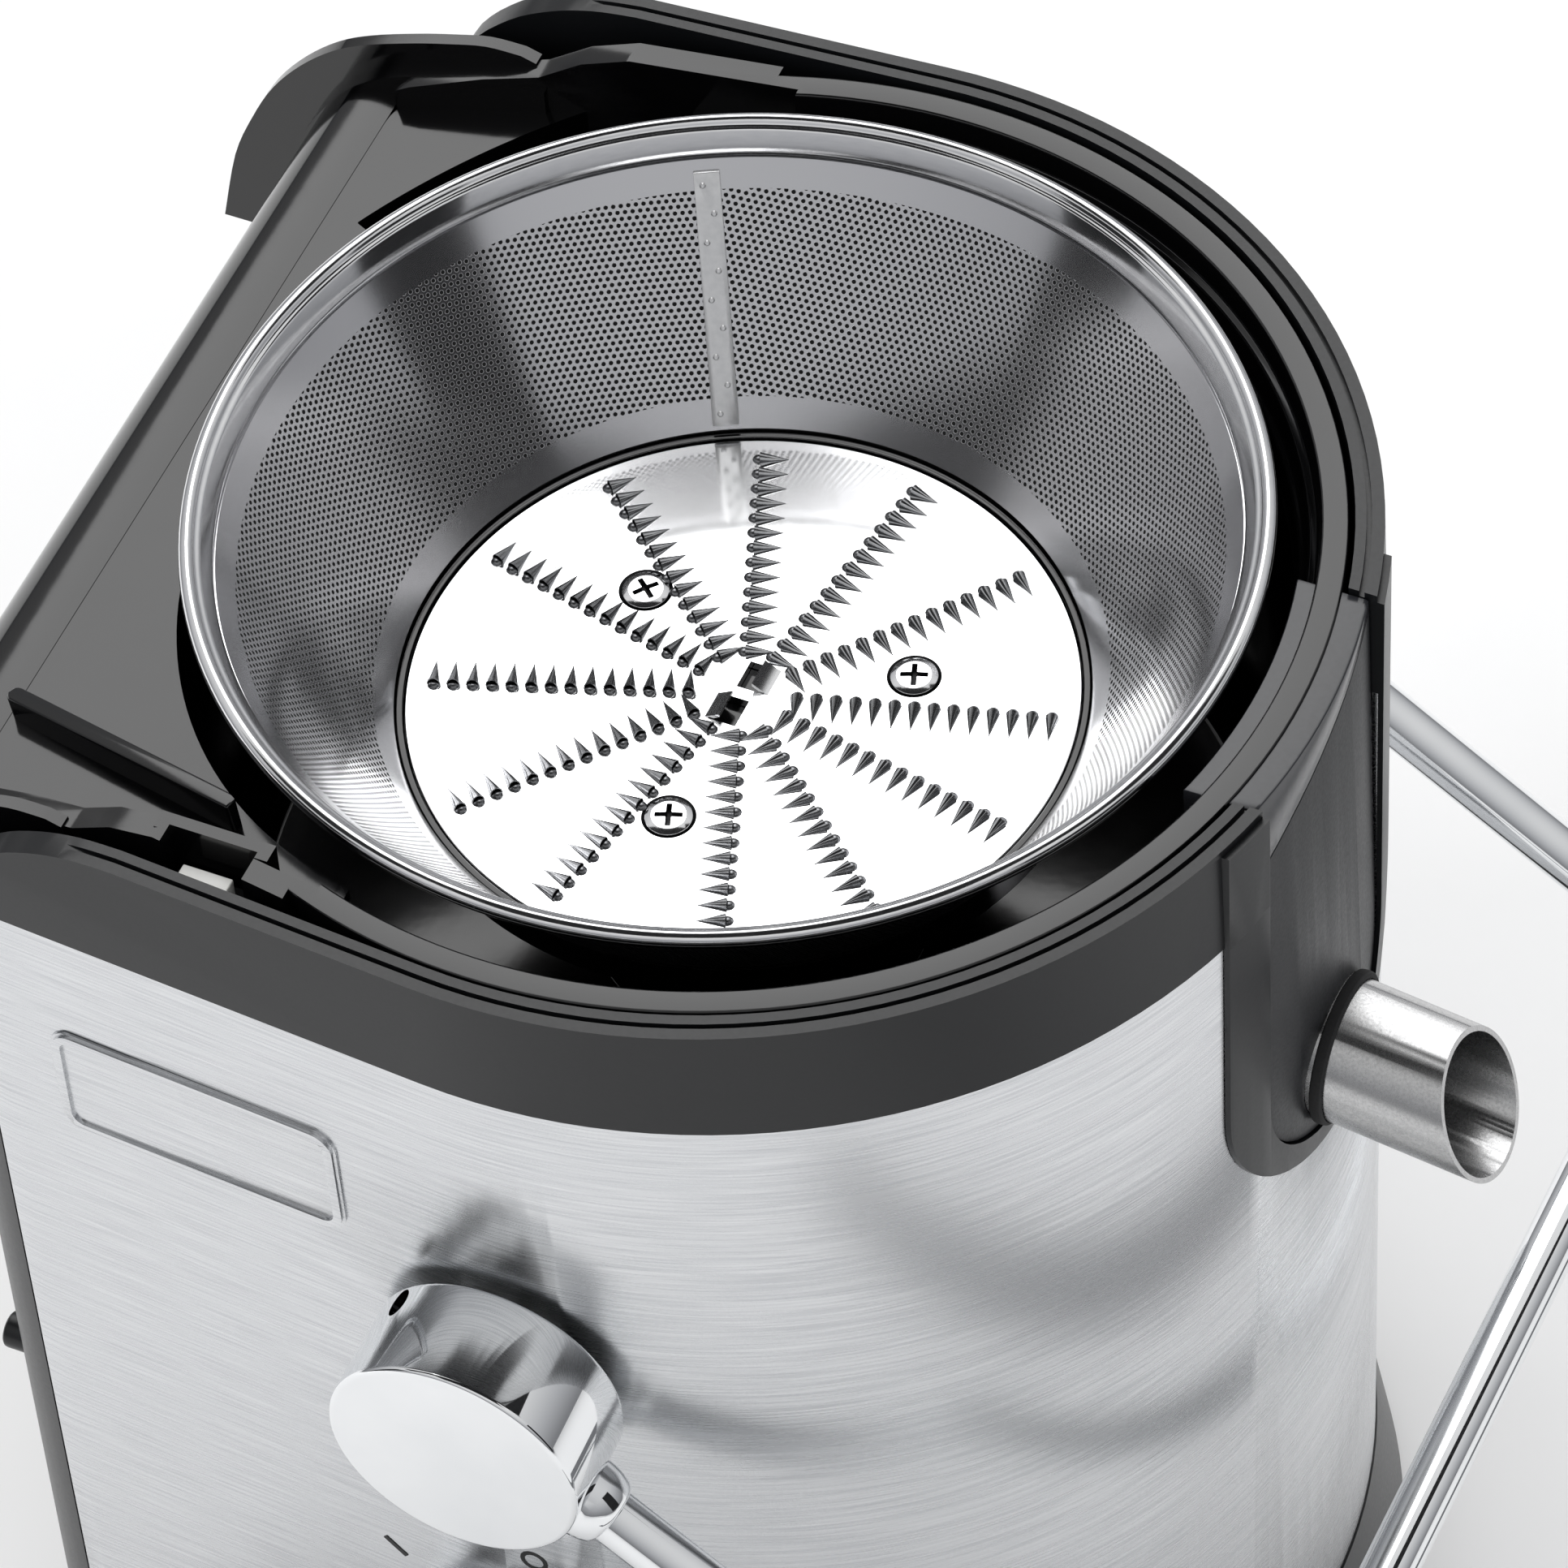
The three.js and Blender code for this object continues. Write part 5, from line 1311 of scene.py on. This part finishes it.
# %% Finishes for the nodes that stay
for name, node in frame["nodes"].items():
    if node.hide_render:
        continue
    node.data.materials.clear()
    node.data.materials.append(SLOTS[slot_of[name]])
    print("dressed", name, "as", slot_of[name])

# %% [markdown]
# ## Camera, floor and light
#
# The juicer is seen from above and a little to its right, through a long lens that
# keeps its circles nearly parallel. It stands on a plain pale floor under large soft
# lights. Polished metal shows only what is round it, so the room is bright above and
# greyer at the sides, and a few dark cards give the chrome and the steel their bands.
# The cards show in reflections alone: the camera and the shadows pass them by.

# %% Camera
LENS = 242.2
EYE = (478.82, -890.10, 1148.72)
camera_data = bpy.data.cameras.new("camera")
camera_data.sensor_width = 36
camera_data.lens = LENS
camera_data.clip_end = 50
camera = bpy.data.objects.new("camera", camera_data)
bpy.context.scene.collection.objects.link(camera)
AZIMUTH, ELEVATION, ROLL = (math.radians(a) for a in (28, 50.166, 5.0))
back = Vector((math.sin(AZIMUTH) * math.cos(ELEVATION),
               -math.cos(AZIMUTH) * math.cos(ELEVATION), math.sin(ELEVATION)))
right = Vector((math.cos(AZIMUTH), math.sin(AZIMUTH), 0))
up = back.cross(right)
across = right * math.cos(ROLL) - up * math.sin(ROLL)
upright = right * math.sin(ROLL) + up * math.cos(ROLL)
eye = Vector((EYE[0], EYE[1], EYE[2] + RIM_Z)) * MM + Vector((SPINDLE_X, 0, 0))
facing = Matrix((across, upright, back)).transposed().to_4x4()
camera.matrix_world = Matrix.Translation(eye) @ facing
bpy.context.scene.camera = camera
print("camera at", tuple(round(c, 3) for c in eye))

# %% Plain display tones
# Straight tones keep the pale floor pale and the black plastic black.
bpy.context.scene.view_settings.view_transform = "Standard"

# %% Floor
clear_selection()
bpy.ops.mesh.primitive_plane_add(size=9)
floor = bpy.context.object
floor.name = "studio_floor"
floor.data.materials.append(grained("matt_white_floor", "#F8F8F8", "#F6F6F6", (0.8, 0.9),
                                    grain=(30, 30, 30), bump=0.0))

# %% Soft room light
world = bpy.data.worlds.new("studio")
bpy.context.scene.world = world
world.use_nodes = True
sky = world.node_tree
direction = put(sky, "TexCoord").outputs["Generated"]
height = put(sky, "SeparateXYZ", {0: direction}).outputs[2]
ramp_node = put(sky, "ValToRGB", {0: height})
stops = ramp_node.color_ramp
stops.elements[0].position, stops.elements[0].color = 0.0, linear("#8E8F92")
stops.elements[1].position, stops.elements[1].color = 0.75, linear("#FFFFFF")
middle = stops.elements.new(0.28)
middle.color = linear("#C4C5C8")
background = sky.nodes["Background"]
sky.links.new(ramp_node.outputs[0], background.inputs["Color"])
background.inputs["Strength"].default_value = 0.8

# %% Softboxes and dark cards
TARGET = Vector((SPINDLE_X, 0, 0.18))


def look_at(position):
    return (Vector(position) - TARGET).to_track_quat("Z", "Y").to_matrix().to_4x4()


def softbox(name, position, size, watts, reflected=True):
    """A soft lamp. Unless it is reflected, polished metal doesn't show it."""
    data = bpy.data.lights.new(name, "AREA")
    data.shape = "RECTANGLE"
    data.size, data.size_y = size
    data.energy = watts
    light = bpy.data.objects.new(name, data)
    bpy.context.scene.collection.objects.link(light)
    light.matrix_world = Matrix.Translation(position) @ look_at(position)
    light.visible_glossy = reflected


def card(name, position, size, tone, flat=False):
    """A card that only reflections see: it hides from the camera and from shadows."""
    clear_selection()
    bpy.ops.mesh.primitive_plane_add(size=1)
    made = bpy.context.object
    made.name = name
    facing = Matrix.Identity(4) if flat else look_at(position)
    made.data.transform(Matrix.Translation(position) @ facing @ Matrix.Diagonal((*size, 1, 1)))
    made.data.materials.append(grained(name + "_felt", tone, tone, (0.9, 1.0), bump=0.0))
    made.visible_camera = False
    made.visible_shadow = False
    made.visible_diffuse = False


softbox("key_above", (-0.7, 1.3, 2.0), (1.6, 1.6), 22)
softbox("fill_left", (-1.6, -1.2, 1.1), (0.8, 1.6), 14, reflected=False)
softbox("fill_right", (1.5, -1.0, 1.0), (0.5, 1.4), 6, reflected=False)
card("hood_overhead", (0.1, -0.25, 1.7), (1.7, 1.1), "#101012")
card("flag_low_left", (-1.2, -0.85, 0.55), (0.5, 0.8), "#151517")
card("flag_low_right", (1.4, -0.1, 0.55), (0.6, 0.8), "#151517")
card("flag_left", (-1.1, -0.36, 1.7), (0.7, 0.9), "#1A1A1C")
card("floor_flag_right", (0.235, 0.05, 0.004), (0.05, 0.8), "#707174", flat=True)
card("flag_right_back", (1.0, 0.7, 1.6), (0.8, 0.9), "#1A1A1C")
